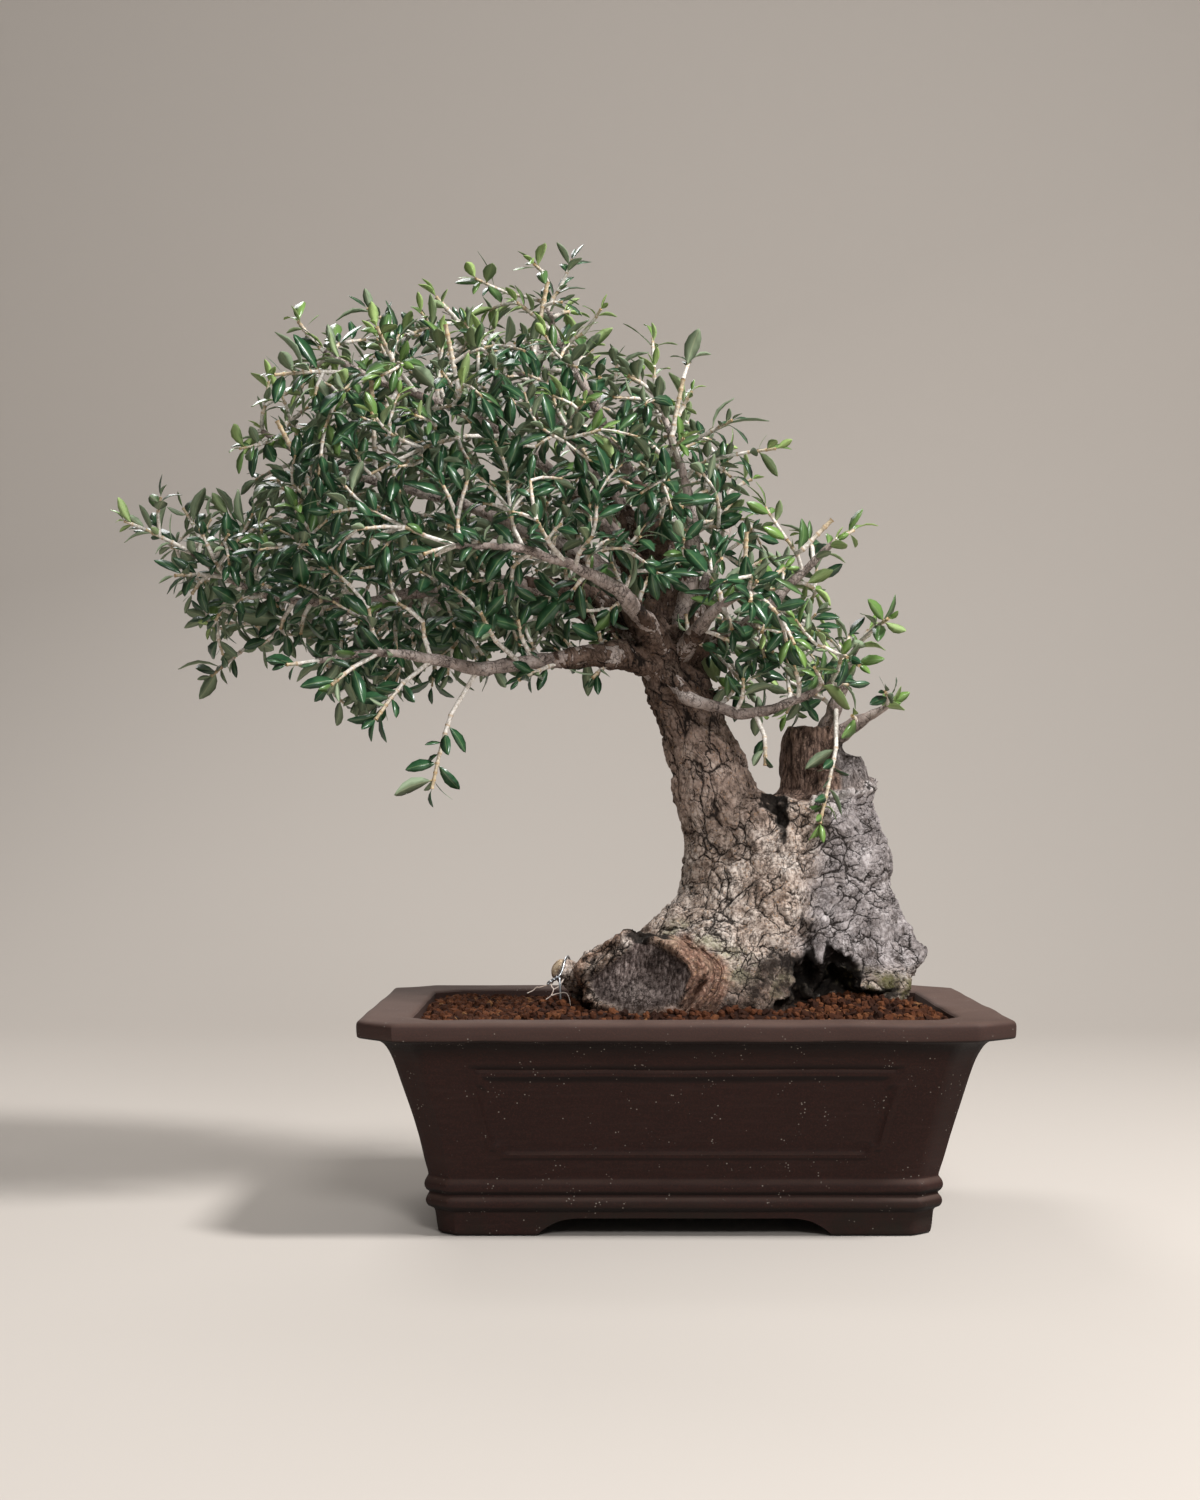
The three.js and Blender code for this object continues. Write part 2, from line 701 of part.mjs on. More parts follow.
// Tries a few ways until what grows there is clear; null when it never is.
function clearWay(owner, { root, outward, tangent }, lean, length, radius) {
  const aside = tangent.clone().cross(outward);
  for (const [more, turn] of LEANS_TRIED) {
    const way = tangent.clone().multiplyScalar(Math.cos(lean + more));
    way.addScaledVector(outward, Math.sin(lean + more) * Math.cos(turn));
    way.addScaledVector(aside, Math.sin(lean + more) * Math.sin(turn));
    const from = root.clone().addScaledVector(way, length * 0.3);
    const to = root.clone().addScaledVector(way, length);
    if (isClear(owner, from, to, radius)) return way;
  }
  return null;
}

// A stem or shoot with a swelling at each node. grow fills two opposite faces of each
// swelling, turned a quarter from one node to the next.
function raiseStem(skin, foot, frames, radii, grow) {
  let loop = foot;
  frames.forEach((frame, node) => {
    const { point, side, up, tangent } = frame;
    const below = addRing(skin, frame, radii[node]);
    const top = point.clone().addScaledVector(tangent, NODE_LENGTH);
    const above = addRing(skin, { ...frame, point: top }, radii[node]);
    joinLoops(skin, loop, below);
    const outwards = [up, side.clone().negate(), up.clone().negate(), side];
    outwards.forEach((outward, slot) => {
      const next = (slot + 1) % 4;
      const face = [below[slot], below[next], above[next], above[slot]];
      const root = point
        .clone()
        .lerp(top, 0.5)
        .addScaledVector(outward, radii[node] * Math.SQRT1_2);
      const chosen = slot % 2 === node % 2;
      if (!chosen || !grow(node, face, { root, outward, tangent })) closeLoop(skin, face);
    });
    loop = above;
  });
  closeLoop(skin, loop);
}

function growLeaf(skin, owner, random, face, place, lean) {
  const length = span(random, ...LEAF_LENGTH);
  const way = clearWay(owner, place, lean, length, (length * LEAF_SLENDERNESS) / 2);
  if (!way) return false;
  const to = place.root.clone().addScaledVector(way, length);
  const from = place.root.clone().addScaledVector(way, length * 0.3);
  placeLine(owner, "leaf", [from, to], [length * 0.15, length * 0.15]);
  raiseLeaf(skin, face, place.root, way, length);
  return true;
}

function growShoot(skin, owner, random, face, place) {
  const length = span(random, ...SHOOT_LENGTH);
  const way = clearWay(owner, place, span(random, 0.7, 0.95), length, SHOOT_RADIUS[0] + 3);
  if (!way) return false;
  const points = SHOOT_NODES.map((share) =>
    place.root.clone().addScaledVector(way, share * length),
  );
  placeLine(owner, "stem", [place.root, points[1]], SHOOT_RADIUS);
  raiseStem(skin, face, framesAlong(points), SHOOT_RADIUS, (node, leafFace, leafPlace) =>
    growLeaf(skin, owner, random, leafFace, leafPlace, node === 1 ? 0.55 : 0.9),
  );
  return true;
}

function growSpray(owner, grownWood) {
  const random = randomSource(SEED + owner * 977);
  const curve = stemCurve(SPRAYS[owner]);
  const shares = [0, ...STEM_NODES];
  const frames = framesAlong(shares.map((share) => curve.getPoint(share)));
  const radii = shares.map((share) => mix(...STEM_RADIUS, share));
  const skin = emptySkin();
  const foot = addRing(skin, frames[0], radii[0]);
  closeLoop(skin, [...foot].reverse());
  const last = STEM_NODES.length - 1;
  raiseStem(skin, foot, frames.slice(1), radii.slice(1), (node, face, place) => {
    const forShoot = node < last && place.outward.z > -0.6 && random() < SHOOT_CHANCE;
    if (forShoot && growShoot(skin, owner, random, face, place)) return true;
    return growLeaf(skin, owner, random, face, place, node === last ? 0.5 : 0.9);
  });
  const geometry = new THREE.BufferGeometry().setFromPoints(skin.corners);
  return solidOf(geometry.setIndex(skin.faces.flat())).subtract(grownWood);
}

function makeSprays(grownWood) {
  for (const name of Object.keys(LIMBS)) {
    const { points, radii } = limbLine(name);
    placeLine("wood", "limb", points, radii);
  }
  for (const rings of [LEANING_TRUNK, OLD_STUMP]) {
    const axis = rings.map(([height, x, y]) => vector([x, y, height]));
    placeLine("wood", "limb", axis, rings.map((ring) => ring[3]));
  }
  SPRAYS.forEach((spray, owner) => {
    const points = stemCurve(spray).getPoints(6);
    placeLine(owner, "stem", points, points.map(() => STEM_RADIUS[0]));
  });
  return SPRAYS.map((_, owner) => largestBody(growSpray(owner, grownWood)));
}

// ---------------------------------------------------------------- the tie wire
// A loop of wire over the cut root, both ends down in the soil.
const TIE_WIRE = [
  [-70, -42, 112], [-71, -40, 128], [-72.5, -36, 142], [-72.5, -30, 153], [-71, -22, 155],
  [-69, -15, 148], [-68, -11, 132], [-68, -10, 112],
];

function makeTieWire(swell = 0) {
  const points = curveThrough(TIE_WIRE).getPoints(14);
  return tubeAlong(points, points.map(() => WIRE_RADIUS), 5, swell);
}

// ---------------------------------------------------------------- the soil
// Heaps of granules: [x, y, height, spread].
const HEAPS = [
  [96, -22, 12, 46],
  [-60, -20, 6, 40],
  [30, -70, 3, 60],
  [40, 60, 5, 60],
];
const GRAIN_RELIEF = 1.7;

function soilHeight(x, y, random) {
  const heaped = HEAPS.reduce(
    (sum, [hx, hy, height, spread]) =>
      sum + height * Math.exp(-((x - hx) ** 2 + (y - hy) ** 2) / spread ** 2),
    0,
  );
  return SOIL_LEVEL + heaped + (random() - 0.5) * 2 * GRAIN_RELIEF;
}

// The granules fill the pot up to a lumpy surface.
function makeSoil(grownWood, grownWire) {
  const random = randomSource(SEED);
  const fill = cornerCutStack(POT_CAVITY, CLEARANCE + 0.05);
  const block = new THREE.BoxGeometry(340, 240, 100, 17, 12, 1).translate(0, 0, 50);
  const heights = new Map();
  reshape(block, (x, y, z) => {
    if (z < 1) return new THREE.Vector3(x, y, FLOOR_TOP + CLEARANCE);
    const key = `${Math.round(x)} ${Math.round(y)}`;
    if (!heights.has(key)) heights.set(key, soilHeight(x, y, random));
    return new THREE.Vector3(x, y, heights.get(key));
  });
  let soil = solidOf(block).intersect(fill).subtract(grownWood).subtract(grownWire);
  for (const side of [-1, 1]) {
    const room = new THREE.BoxGeometry(MESH_SIDE + 1, MESH_SIDE + 1, 4);
    soil = soil.subtract(solidOf(room.translate(side * DRAIN_OFFSET, 0, FLOOR_TOP)));
  }
  return largestBody(soil);
}

// ---------------------------------------------------------------- the object
const finishes = {
  stoneware: new THREE.MeshStandardMaterial({ color: 0x3b2b27, roughness: 0.72, metalness: 0 }),
  bark: new THREE.MeshStandardMaterial({ color: 0x93857a, roughness: 0.92, metalness: 0 }),
  leaf: new THREE.MeshStandardMaterial({ color: 0x35523a, roughness: 0.42, metalness: 0 }),
  granules: new THREE.MeshStandardMaterial({ color: 0x6e3d24, roughness: 0.95, metalness: 0 }),
  wire: new THREE.MeshStandardMaterial({ color: 0x9a9a9c, roughness: 0.35, metalness: 1 }),
  mesh: new THREE.MeshStandardMaterial({ color: 0x1d1f1e, roughness: 0.6, metalness: 0 }),
};

const bonsai = new THREE.Group();

function addPiece(name, solid, finish) {
  const piece = new THREE.Mesh(geometryOf(solid), finish);
  piece.name = name;
  bonsai.add(piece);
}

const wood = makeWood();
const grownWood = makeWood(CLEARANCE);

addPiece("pot", makePot(), finishes.stoneware);
addPiece("drain_mesh_left", drainMesh(-1), finishes.mesh);
addPiece("drain_mesh_right", drainMesh(1), finishes.mesh);
addPiece("soil", makeSoil(grownWood, makeTieWire(CLEARANCE)), finishes.granules);
addPiece("trunk", wood, finishes.bark);
addPiece("tie_wire", makeTieWire(), finishes.wire);
makeSprays(grownWood).forEach((spray, index) => {
  addPiece(`spray_${String(index + 1).padStart(2, "0")}`, spray, finishes.leaf);
});

// The object's origin is the middle of its footprint.
const box = new THREE.Box3().setFromObject(bonsai);
const middle = box.getCenter(new THREE.Vector3());
bonsai.position.set(-middle.x, -middle.y, 0);

export default bonsai;
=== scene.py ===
import math
import random

import bmesh
import bpy
import numpy as np
from bpy.props import FloatProperty, IntProperty, PointerProperty, StringProperty
from mathutils import Matrix, Vector, noise


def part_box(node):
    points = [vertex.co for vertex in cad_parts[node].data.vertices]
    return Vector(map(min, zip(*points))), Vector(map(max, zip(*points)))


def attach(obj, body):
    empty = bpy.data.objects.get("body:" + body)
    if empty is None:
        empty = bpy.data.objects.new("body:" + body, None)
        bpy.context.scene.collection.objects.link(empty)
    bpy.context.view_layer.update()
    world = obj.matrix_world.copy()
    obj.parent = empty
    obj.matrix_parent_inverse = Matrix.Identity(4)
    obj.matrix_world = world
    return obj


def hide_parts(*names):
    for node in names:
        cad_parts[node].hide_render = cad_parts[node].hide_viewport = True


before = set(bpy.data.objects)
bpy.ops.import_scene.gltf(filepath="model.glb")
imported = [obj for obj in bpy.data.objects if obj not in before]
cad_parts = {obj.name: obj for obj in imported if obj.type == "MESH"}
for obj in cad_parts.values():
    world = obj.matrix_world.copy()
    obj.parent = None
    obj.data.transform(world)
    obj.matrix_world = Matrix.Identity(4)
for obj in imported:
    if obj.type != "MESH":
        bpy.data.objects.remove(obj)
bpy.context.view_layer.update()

bl_info = {
    "name": "Olive Bonsai",
    "version": (1, 0, 0),
    "blender": (4, 5, 0),
    "location": "3D View > Sidebar > Bonsai",
    "description": "Dresses a packed olive bonsai: stoneware pot, clay granules, old wood and leafy sprays",
    "category": "Object",
}

# Points are written in millimetres about the pot's centre, +Z up and +Y to the back, and turned to
# metres in the frame's axes when a mesh is made.
MM = 0.001
POT_LOW, POT_HIGH = (Vector(corner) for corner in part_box("pot"))
POT_SIZE = (POT_HIGH - POT_LOW) / MM
ORIGIN = np.array([(POT_LOW.x + POT_HIGH.x) / 2, (POT_LOW.y + POT_HIGH.y) / 2, POT_LOW.z])
SEED = 20417
# Noise vectors are else laid by the clock, and each run would give other bark plates.
noise.seed_set(SEED)


# ------------------------------------------------------------------------------ small tools
def linear(hex_colour, lightness=1.0):
    """An sRGB hex colour such as "8a7b6e" as linear RGBA, lightened by a factor."""
    channels = [int(hex_colour[i : i + 2], 16) / 255 for i in (0, 2, 4)]
    channels = [c / 12.92 if c <= 0.04045 else ((c + 0.055) / 1.055) ** 2.4 for c in channels]
    return (*(c * lightness for c in channels), 1)


def add(tree, kind, inputs=None, stops=None, **settings):
    """Add a node, set its properties, and set or link its inputs by name or number. A node given for
    an input is linked from its first live output, and a list links each of its nodes."""
    made = tree.nodes.new(kind)
    for name, value in settings.items():
        setattr(made, name, value)
    if stops:
        elements = made.color_ramp.elements
        while len(elements) < len(stops):
            elements.new(0.5)
        for element, (position, colour) in zip(elements, stops):
            element.position = position
            element.color = linear(colour)
    for name, value in (inputs or {}).items():
        for source in value if isinstance(value, list) else [value]:
            if isinstance(source, bpy.types.Node):
                source = next(socket for socket in source.outputs if socket.enabled)
            if isinstance(source, bpy.types.NodeSocket):
                tree.links.new(source, made.inputs[name])
            else:
                made.inputs[name].default_value = source
    return made


def surface(name):
    """A new material, its empty tree, and the coordinates in metres that its patterns lie in."""
    material = bpy.data.materials.new(name)
    material.use_nodes = True
    material.node_tree.nodes.clear()
    tree = material.node_tree
    return material, tree, add(tree, "ShaderNodeTexCoord").outputs["Object"]


def lay_patterns(tree, place, clouds, marks=()):
    """What a material reads: clouds of noise, each with its scale per metre, detail, roughness and
    maybe its own coordinates, and marks that are stored on the mesh."""
    patterns = {}
    for name in marks:
        patterns[name] = add(tree, "ShaderNodeAttribute", attribute_name=name).outputs["Fac"]
    for name, (scale, detail, roughness, *where) in clouds.items():
        patterns[name] = add(tree, "ShaderNodeTexNoise", {
            "Vector": (where or [place])[0], "Scale": scale, "Detail": detail, "Roughness": roughness,
        })
    return patterns


def measure(tree, patterns, *parts):
    """The product of numbers, nodes and patterns. A pattern can be spread from one pair of ends to
    another, which is 0 and 1 if not given."""
    product = None
    for part in parts:
        if isinstance(part, tuple):
            ends = dict(zip((1, 2, 3, 4), part[1:]))
            part = add(tree, "ShaderNodeMapRange", {"Value": patterns[part[0]], **ends})
        elif isinstance(part, str):
            part = patterns[part]
        if product is not None:
            part = add(tree, "ShaderNodeMath", {0: product, 1: part}, operation="MULTIPLY")
        product = part
    return product


def paint(tree, patterns, coats):
    """Coats of colour laid one over another. A coat's colour is hex, linear, a node, or a pattern's
    name with the colours at its stops. What follows says how much of the coat shows, as measure
    takes it; after MULTIPLY it darkens what lies below."""
    colour = None
    for tint, *parts in coats:
        if isinstance(tint, str):
            tint = linear(tint)
        elif isinstance(tint, tuple) and isinstance(tint[0], str):
            tint = add(tree, "ShaderNodeValToRGB", {"Fac": patterns[tint[0]]}, stops=tint[1:])
        if colour is not None:
            way = parts.pop(0) if parts[0] == "MULTIPLY" else "MIX"
            tint = add(tree, "ShaderNodeMix", {
                "Factor": measure(tree, patterns, *parts), "A": colour, "B": tint,
            }, data_type="RGBA", blend_type=way)
        colour = tint
    return colour


def finish(tree, inputs, height=None, strength=0, depth=0):
    """Close a material with its shader, and a bump of this strength and depth in millimetres."""
    if height:
        inputs["Normal"] = add(tree, "ShaderNodeBump", {
            "Height": height, "Strength": strength, "Distance": depth * MM,
        })
    shader = add(tree, "ShaderNodeBsdfPrincipled", inputs)
    add(tree, "ShaderNodeOutputMaterial", {"Surface": shader})


def geometry_tree(name, inputs, output):
    """A new Geometry Nodes tree, and the sockets that give its named inputs."""
    tree = bpy.data.node_groups.new(name, "GeometryNodeTree")
    for label, kind in inputs.items():
        tree.interface.new_socket(label, in_out="INPUT", socket_type=f"NodeSocket{kind}")
    tree.interface.new_socket(output, in_out="OUTPUT", socket_type="NodeSocketGeometry")
    return tree, add(tree, "NodeGroupInput").outputs


def smooth_through(knots, shares):
    """Points of a uniform Catmull-Rom curve through the knots, at shares of the way along."""
    knots = np.asarray(knots, float)
    padded = np.vstack([2 * knots[0] - knots[1], knots, 2 * knots[-1] - knots[-2]])
    at = np.asarray(shares, float) * (len(knots) - 1)
    i = np.minimum(at.astype(int), len(knots) - 2)
    t = (at - i)[:, None]
    a, b, c, d = (padded[i + k] for k in range(4))
    return b + 0.5 * t * (c - a + t * (2 * a - 5 * b + 4 * c - d + t * (3 * (b - c) + d - a)))


def along(knots, per_span):
    """The curve through the knots, with equal steps in each span."""
    return smooth_through(knots, np.linspace(0, 1, (len(knots) - 1) * per_span + 1))


def place_object(name, data):
    """A new object at the origin, in the scene."""
    made = bpy.data.objects.new(name, data)
    bpy.context.scene.collection.objects.link(made)
    return made


def mesh_object(name, points, faces, material=None):
    """A smooth-shaded object at the origin; points are in millimetres about the pot."""
    mesh = bpy.data.meshes.new(name)
    mesh.from_pydata((np.asarray(points, float) * MM + ORIGIN).tolist(), [], faces)
    mesh.shade_smooth()
    if material:
        mesh.materials.append(material)
    return place_object(name, mesh)


def round_turns(sides):
    """The turns of the corners of a ring."""
    return np.arange(sides) * 2 * math.pi / sides


def join_parts(parts):
    """Several (points, faces) lists as one."""
    points, faces, start = [], [], 0
    for part_points, part_faces in parts:
        points.append(np.asarray(part_points, float))
        faces += [[corner + start for corner in face] for face in part_faces]
        start += len(part_points)
    return np.vstack(points), faces


def band(near, far, count):
    """Quads between two rings of count corners that start at the numbers near and far."""
    return [
        [near + k, near + (k + 1) % count, far + (k + 1) % count, far + k] for k in range(count)
    ]


def stack_rings(rings):
    """A closed skin over a stack of equal rings, with a flat cap at each end."""
    count = len(rings[0])
    faces = [list(range(count - 1, -1, -1))]
    for level in range(len(rings) - 1):
        faces += band(level * count, (level + 1) * count, count)
    top = (len(rings) - 1) * count
    faces.append(list(range(top, top + count)))
    return np.vstack(rings), faces


def tube(points, radii, sides):
    """A tapering tube along points, on frames that don't twist."""
    points = np.asarray(points, float)
    tangents = np.gradient(points, axis=0)
    tangents /= np.linalg.norm(tangents, axis=1)[:, None]
    side = np.array([0.31, 0.95, 0.05])
    turns = round_turns(sides)
    rings = []
    for point, tangent, radius in zip(points, tangents, radii):
        side = side - tangent * side.dot(tangent)
        side /= np.linalg.norm(side)
        up = np.cross(tangent, side)
        offsets = np.cos(turns)[:, None] * side + np.sin(turns)[:, None] * up
        rings.append(point + offsets * radius)
    return stack_rings(rings)


def bake(made):
    """The evaluated object as a plain mesh in place of its modifiers."""
    depsgraph = bpy.context.evaluated_depsgraph_get()
    mesh = bpy.data.meshes.new_from_object(made.evaluated_get(depsgraph), depsgraph=depsgraph)
    made.modifiers.clear()
    made.data = mesh
    return mesh


def discard(*objects):
    """Remove tools that have done their work."""
    for made in objects:
        bpy.data.objects.remove(made)


def dress(made, *nodes, slot):
    """The finished piece rides with the object and stands for its CAD nodes."""
    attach(made, "root")
    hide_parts(*nodes)


def store(mesh, name, values, domain="POINT"):
    """Store a number or a vector for each corner or face."""
    values = np.asarray(values, np.float32)
    kind, field = ("FLOAT_VECTOR", "vector") if values.ndim == 2 else ("FLOAT", "value")
    mesh.attributes.new(name, kind, domain).data.foreach_set(field, values.ravel())


def positions(mesh):
    """The mesh's corners in millimetres about the pot."""
    flat = np.empty(len(mesh.vertices) * 3)
    mesh.vertices.foreach_get("co", flat)
    return (flat.reshape(-1, 3) - ORIGIN) / MM


# ------------------------------------------------------------------------------ settings
class PotSettings(bpy.types.PropertyGroup):
    panel_depth: FloatProperty(
        name="Panel depth", description="How deep the framed panels are pressed in",
        default=2.1 * MM, unit="LENGTH",
    )
    colour: StringProperty(
        name="Clay", description="Fired colour of the unglazed clay, as sRGB hex", default="25130f"
    )
    speck_colour: StringProperty(
        name="Grit", description="Colour of the grit that shows in the clay", default="8d847b"
    )


class SoilSettings(bpy.types.PropertyGroup):
    spacing: FloatProperty(
        name="Spacing", description="Least distance between granules", default=3.4 * MM, unit="LENGTH"
    )
    smallest: FloatProperty(
        name="Smallest", description="Size of the smallest granules", default=3.3 * MM, unit="LENGTH"
    )
    largest: FloatProperty(
        name="Largest", description="Size of the largest granules", default=6.2 * MM, unit="LENGTH"
    )
    seed: IntProperty(name="Seed", description="Seed of the granules' places", default=7)


class WoodSettings(bpy.types.PropertyGroup):
    grain: FloatProperty(
        name="Surface grain", description="Size of the faces that the bark is carved in",
        default=1.55 * MM, unit="LENGTH",
    )
    relief: FloatProperty(
        name="Bark relief", description="Scales how deep the bark is furrowed", default=1.0
    )


class CrownSettings(bpy.types.PropertyGroup):
    leaf_length: FloatProperty(
        name="Leaf length", description="Length of a middling leaf", default=16.5 * MM, unit="LENGTH"
    )
    leaf_spread: FloatProperty(
        name="Leaf spread", description="How much leaf lengths vary, as a share", default=0.32
    )
    internode: FloatProperty(
        name="Internode", description="Distance between pairs of leaves", default=6.6 * MM, unit="LENGTH"
    )
    top_colour: StringProperty(
        name="Leaf, upper side", description="Grown leaf from above, as sRGB hex", default="1e4029"
    )
    under_colour: StringProperty(
        name="Leaf, under side", description="Grown leaf from below, as sRGB hex", default="7c8c6e"
    )
    young_colour: StringProperty(
        name="Young leaf", description="Leaf at a growing tip, as sRGB hex", default="72934a"
    )


class StageSettings(bpy.types.PropertyGroup):
    floor_colour: StringProperty(
        name="Floor", description="Colour of the floor, as sRGB hex", default="c2bab2"
    )
    light_power: FloatProperty(
        name="Light power", description="Power of the main light", default=38.0, unit="POWER"
    )


# ------------------------------------------------------------------------------ the pot
# Outer wall from the foot up: height, inset from the rim's edge, corner cut.
POT_PROFILE = [
    (0, 46.6, 10), (0.5, 45.4, 10.6), (1.8, 44.5, 11), (6, 43.8, 11.4), (13, 43, 12), (15, 42, 12.4),
    (16.4, 39.6, 13), (18.4, 38.2, 13.5), (20.6, 38, 13.5), (22.4, 38.7, 13.3), (23.8, 40, 13),
    (25, 39.9, 13), (26.2, 38.6, 13.3), (28.2, 37.5, 13.5), (30.6, 37.4, 13.5), (32.8, 38.3, 13.3),
    (34.2, 39.5, 13), (36.5, 39.4, 13), (45, 37.1, 13.5), (61, 33.2, 14.5), (78, 28.4, 15.5),
    (94, 23.6, 17), (104, 20.2, 18.3), (110, 17.4, 19.2), (113.6, 15, 20), (115.4, 12.6, 20.7),
    (116.6, 9, 21.5), (117.3, 4.8, 22.2), (117.8, 2, 22.6), (118.5, 0.7, 22.7), (119.6, 0.2, 22.7),
    (123.5, 0, 22.7), (126.3, 0.1, 22.6),
    (127.8, 0.9, 22.4), (128.7, 2.4, 22), (129, 4.4, 21.4),
]
# Rim and inner wall, from the rim's top down to the floor.
POT_CAVITY = [
    (129, 8, 20.5), (128.8, 18, 18), (128.5, 26, 16), (128, 28.6, 15.2), (127, 29.8, 15),
    (125, 30.4, 15), (106, 32.5, 14), (78, 39.5, 13), (50, 46, 12), (26, 52, 10), (22, 58, 6),
]
# Each panel: half width at its foot and at its head, height of its foot and of its head.
FRONT_PANEL = (113, 127, 46.5, 98.5)
SIDE_PANEL = (64, 78, 46.5, 98.5)
PANEL_NOTCH = 5
NOTCH_STEPS = (0, 1.6, 3.4, 7.5)  # beyond the notch, where rows or columns of faces stand
PANEL_FRAME = 4  # how far the pressing reaches outside a panel's outline
# Distance into the panel from its outline, and how far the wall is pressed in there.
PANEL_STEPS = [
    (-3.2, 0), (-2.2, 0.4), (-1.4, 0.45), (0, -0.2), (1.2, -0.5), (2.6, -0.45), (4.2, 0.3),
    (6.5, 0.75), (10, 0.8),
]
FOOT_GAPS = [((70, 92), False), ((36, 54), True)]
FOOT_HEIGHT = 10.7
DRAIN_RADIUS, DRAIN_OFFSET = 12, 86


def panel_half(panel, height):
    """Half the width of a panel at a height."""
    low_half, high_half, low, high = panel
    return low_half + (high_half - low_half) * (height - low) / (high - low)


def panel_press(across, height, panel):
    """How far the wall is pressed in at a place on a panelled side."""
    low, high = panel[2:]
    inside = panel_half(panel, height) - np.abs(across)
    ends = np.minimum(height - low, high - height)
    notch = np.maximum(inside - PANEL_NOTCH, ends - PANEL_NOTCH)
    into = np.minimum(np.minimum(inside, ends), notch)
    depths, presses = zip(*PANEL_STEPS)
    # the groove outside the frame is only deep along its head
    shallow = np.where((into < 0) & (height < high), 0.2, 1)
    return np.interp(into, depths, presses) * shallow


def panel_columns(panel, height):
    """Places across a panelled side where its columns of faces stand, at a height."""
    half = panel_half(panel, height)
    edge = [half - into for into, _ in PANEL_STEPS]
    edge += [half - PANEL_NOTCH - step for step in NOTCH_STEPS[2:]]
    edge = sorted(edge, reverse=True)
    right = edge + [edge[-1] * share for share in (0.8, 0.6, 0.4, 0.2)]
    return [-x for x in right] + [0] + right[::-1]


def pot_ring(height, inset, cut, shaped):
    """One level of the pot: sides along their panels' columns, canted corners softly rounded."""
    half_x, half_y = POT_SIZE.x / 2 - inset, POT_SIZE.y / 2 - inset
    rounding = min(3.2, cut * 0.3)
    points = []
    for turn in range(4):
        long_side = (FRONT_PANEL, half_x, half_y), (SIDE_PANEL, half_y, half_x)
        panel, half_along, half_out = long_side[turn % 2]
        low, high = panel[2:]
        flat = half_along - cut
        columns = panel_columns(panel, min(max(height, low), high))
        limit = min(1, (flat - rounding - 1.5) / max(columns))
        outline = []
        for across in columns:
            across *= limit
            panelled = low - PANEL_FRAME < height < high + PANEL_FRAME
            press = panel_press(across, height, panel) * shaped if panelled else 0
            outline.append((across, press - half_out))
        # the cant: straight between two roundings
        for out, share in ((rounding, 0), (0.35 * rounding, 0), (0.1 * rounding, 0.1), (0, 0.35), (0, 1)):
            step = cut * (0.15 + 0.35 * share) if share else 0
            outline.append((flat - out + step, -half_out + step))
        for share in (0.35, 0.1, 0):
            step = cut * (0.15 + 0.35 * share) if share else 0
            outline.append((half_along - step, -half_out + cut - step))
        outline.append((half_along, -half_out + cut + rounding))
        for x, y in outline:
            for _ in range(turn):
                x, y = -y, x
            points.append((x, y, height))
    return points


def pot_profile_rows():
    """Finely spaced levels of the outer wall, with rows on the panels' steps."""
    low, high = FRONT_PANEL[2:]
    steps = [into for into, _ in PANEL_STEPS] + [PANEL_NOTCH + step for step in NOTCH_STEPS]
    rows = {round(low + step, 3) for step in steps} | {round(high - step, 3) for step in steps}
    between = along(POT_PROFILE, 2)[:, 0]
    plain = [h for h in between if not low - PANEL_FRAME < h < high + PANEL_FRAME]
    heights = sorted(plain + sorted(rows | {68.0, 72.5, 77.0}))
    fine = along(POT_PROFILE, 6)
    return [(h, *(np.interp(h, fine[:, 0], fine[:, k]) for k in (1, 2))) for h in heights]


def foot_gap_cutter(half_top, half_bottom, turned):
    """A bar across the pot's underside whose ends sweep up in an ogee."""
    side = along([
        (half_bottom + 4, -3), (half_bottom, -0.2), (half_bottom - 6, 1.4),
        ((half_top + half_bottom) / 2, 5.2), (half_top + 3, FOOT_HEIGHT - 1.6), (half_top - 6, FOOT_HEIGHT),
    ], 4)
    outline = [(x, z) for x, z in side] + [(-x, z) for x, z in side[::-1]]
    rings = [[(-y, x, z) if turned else (x, y, z) for x, z in outline] for y in (200, -200)]
    return stack_rings(np.array(rings))


def cut_away(made, cutters):
    """Cut the cutters out of an object."""
    for cutter in cutters:
        step = made.modifiers.new("cut", "BOOLEAN")
        step.object, step.operation, step.solver = cutter, "DIFFERENCE", "EXACT"
    bake(made)
    discard(*cutters)


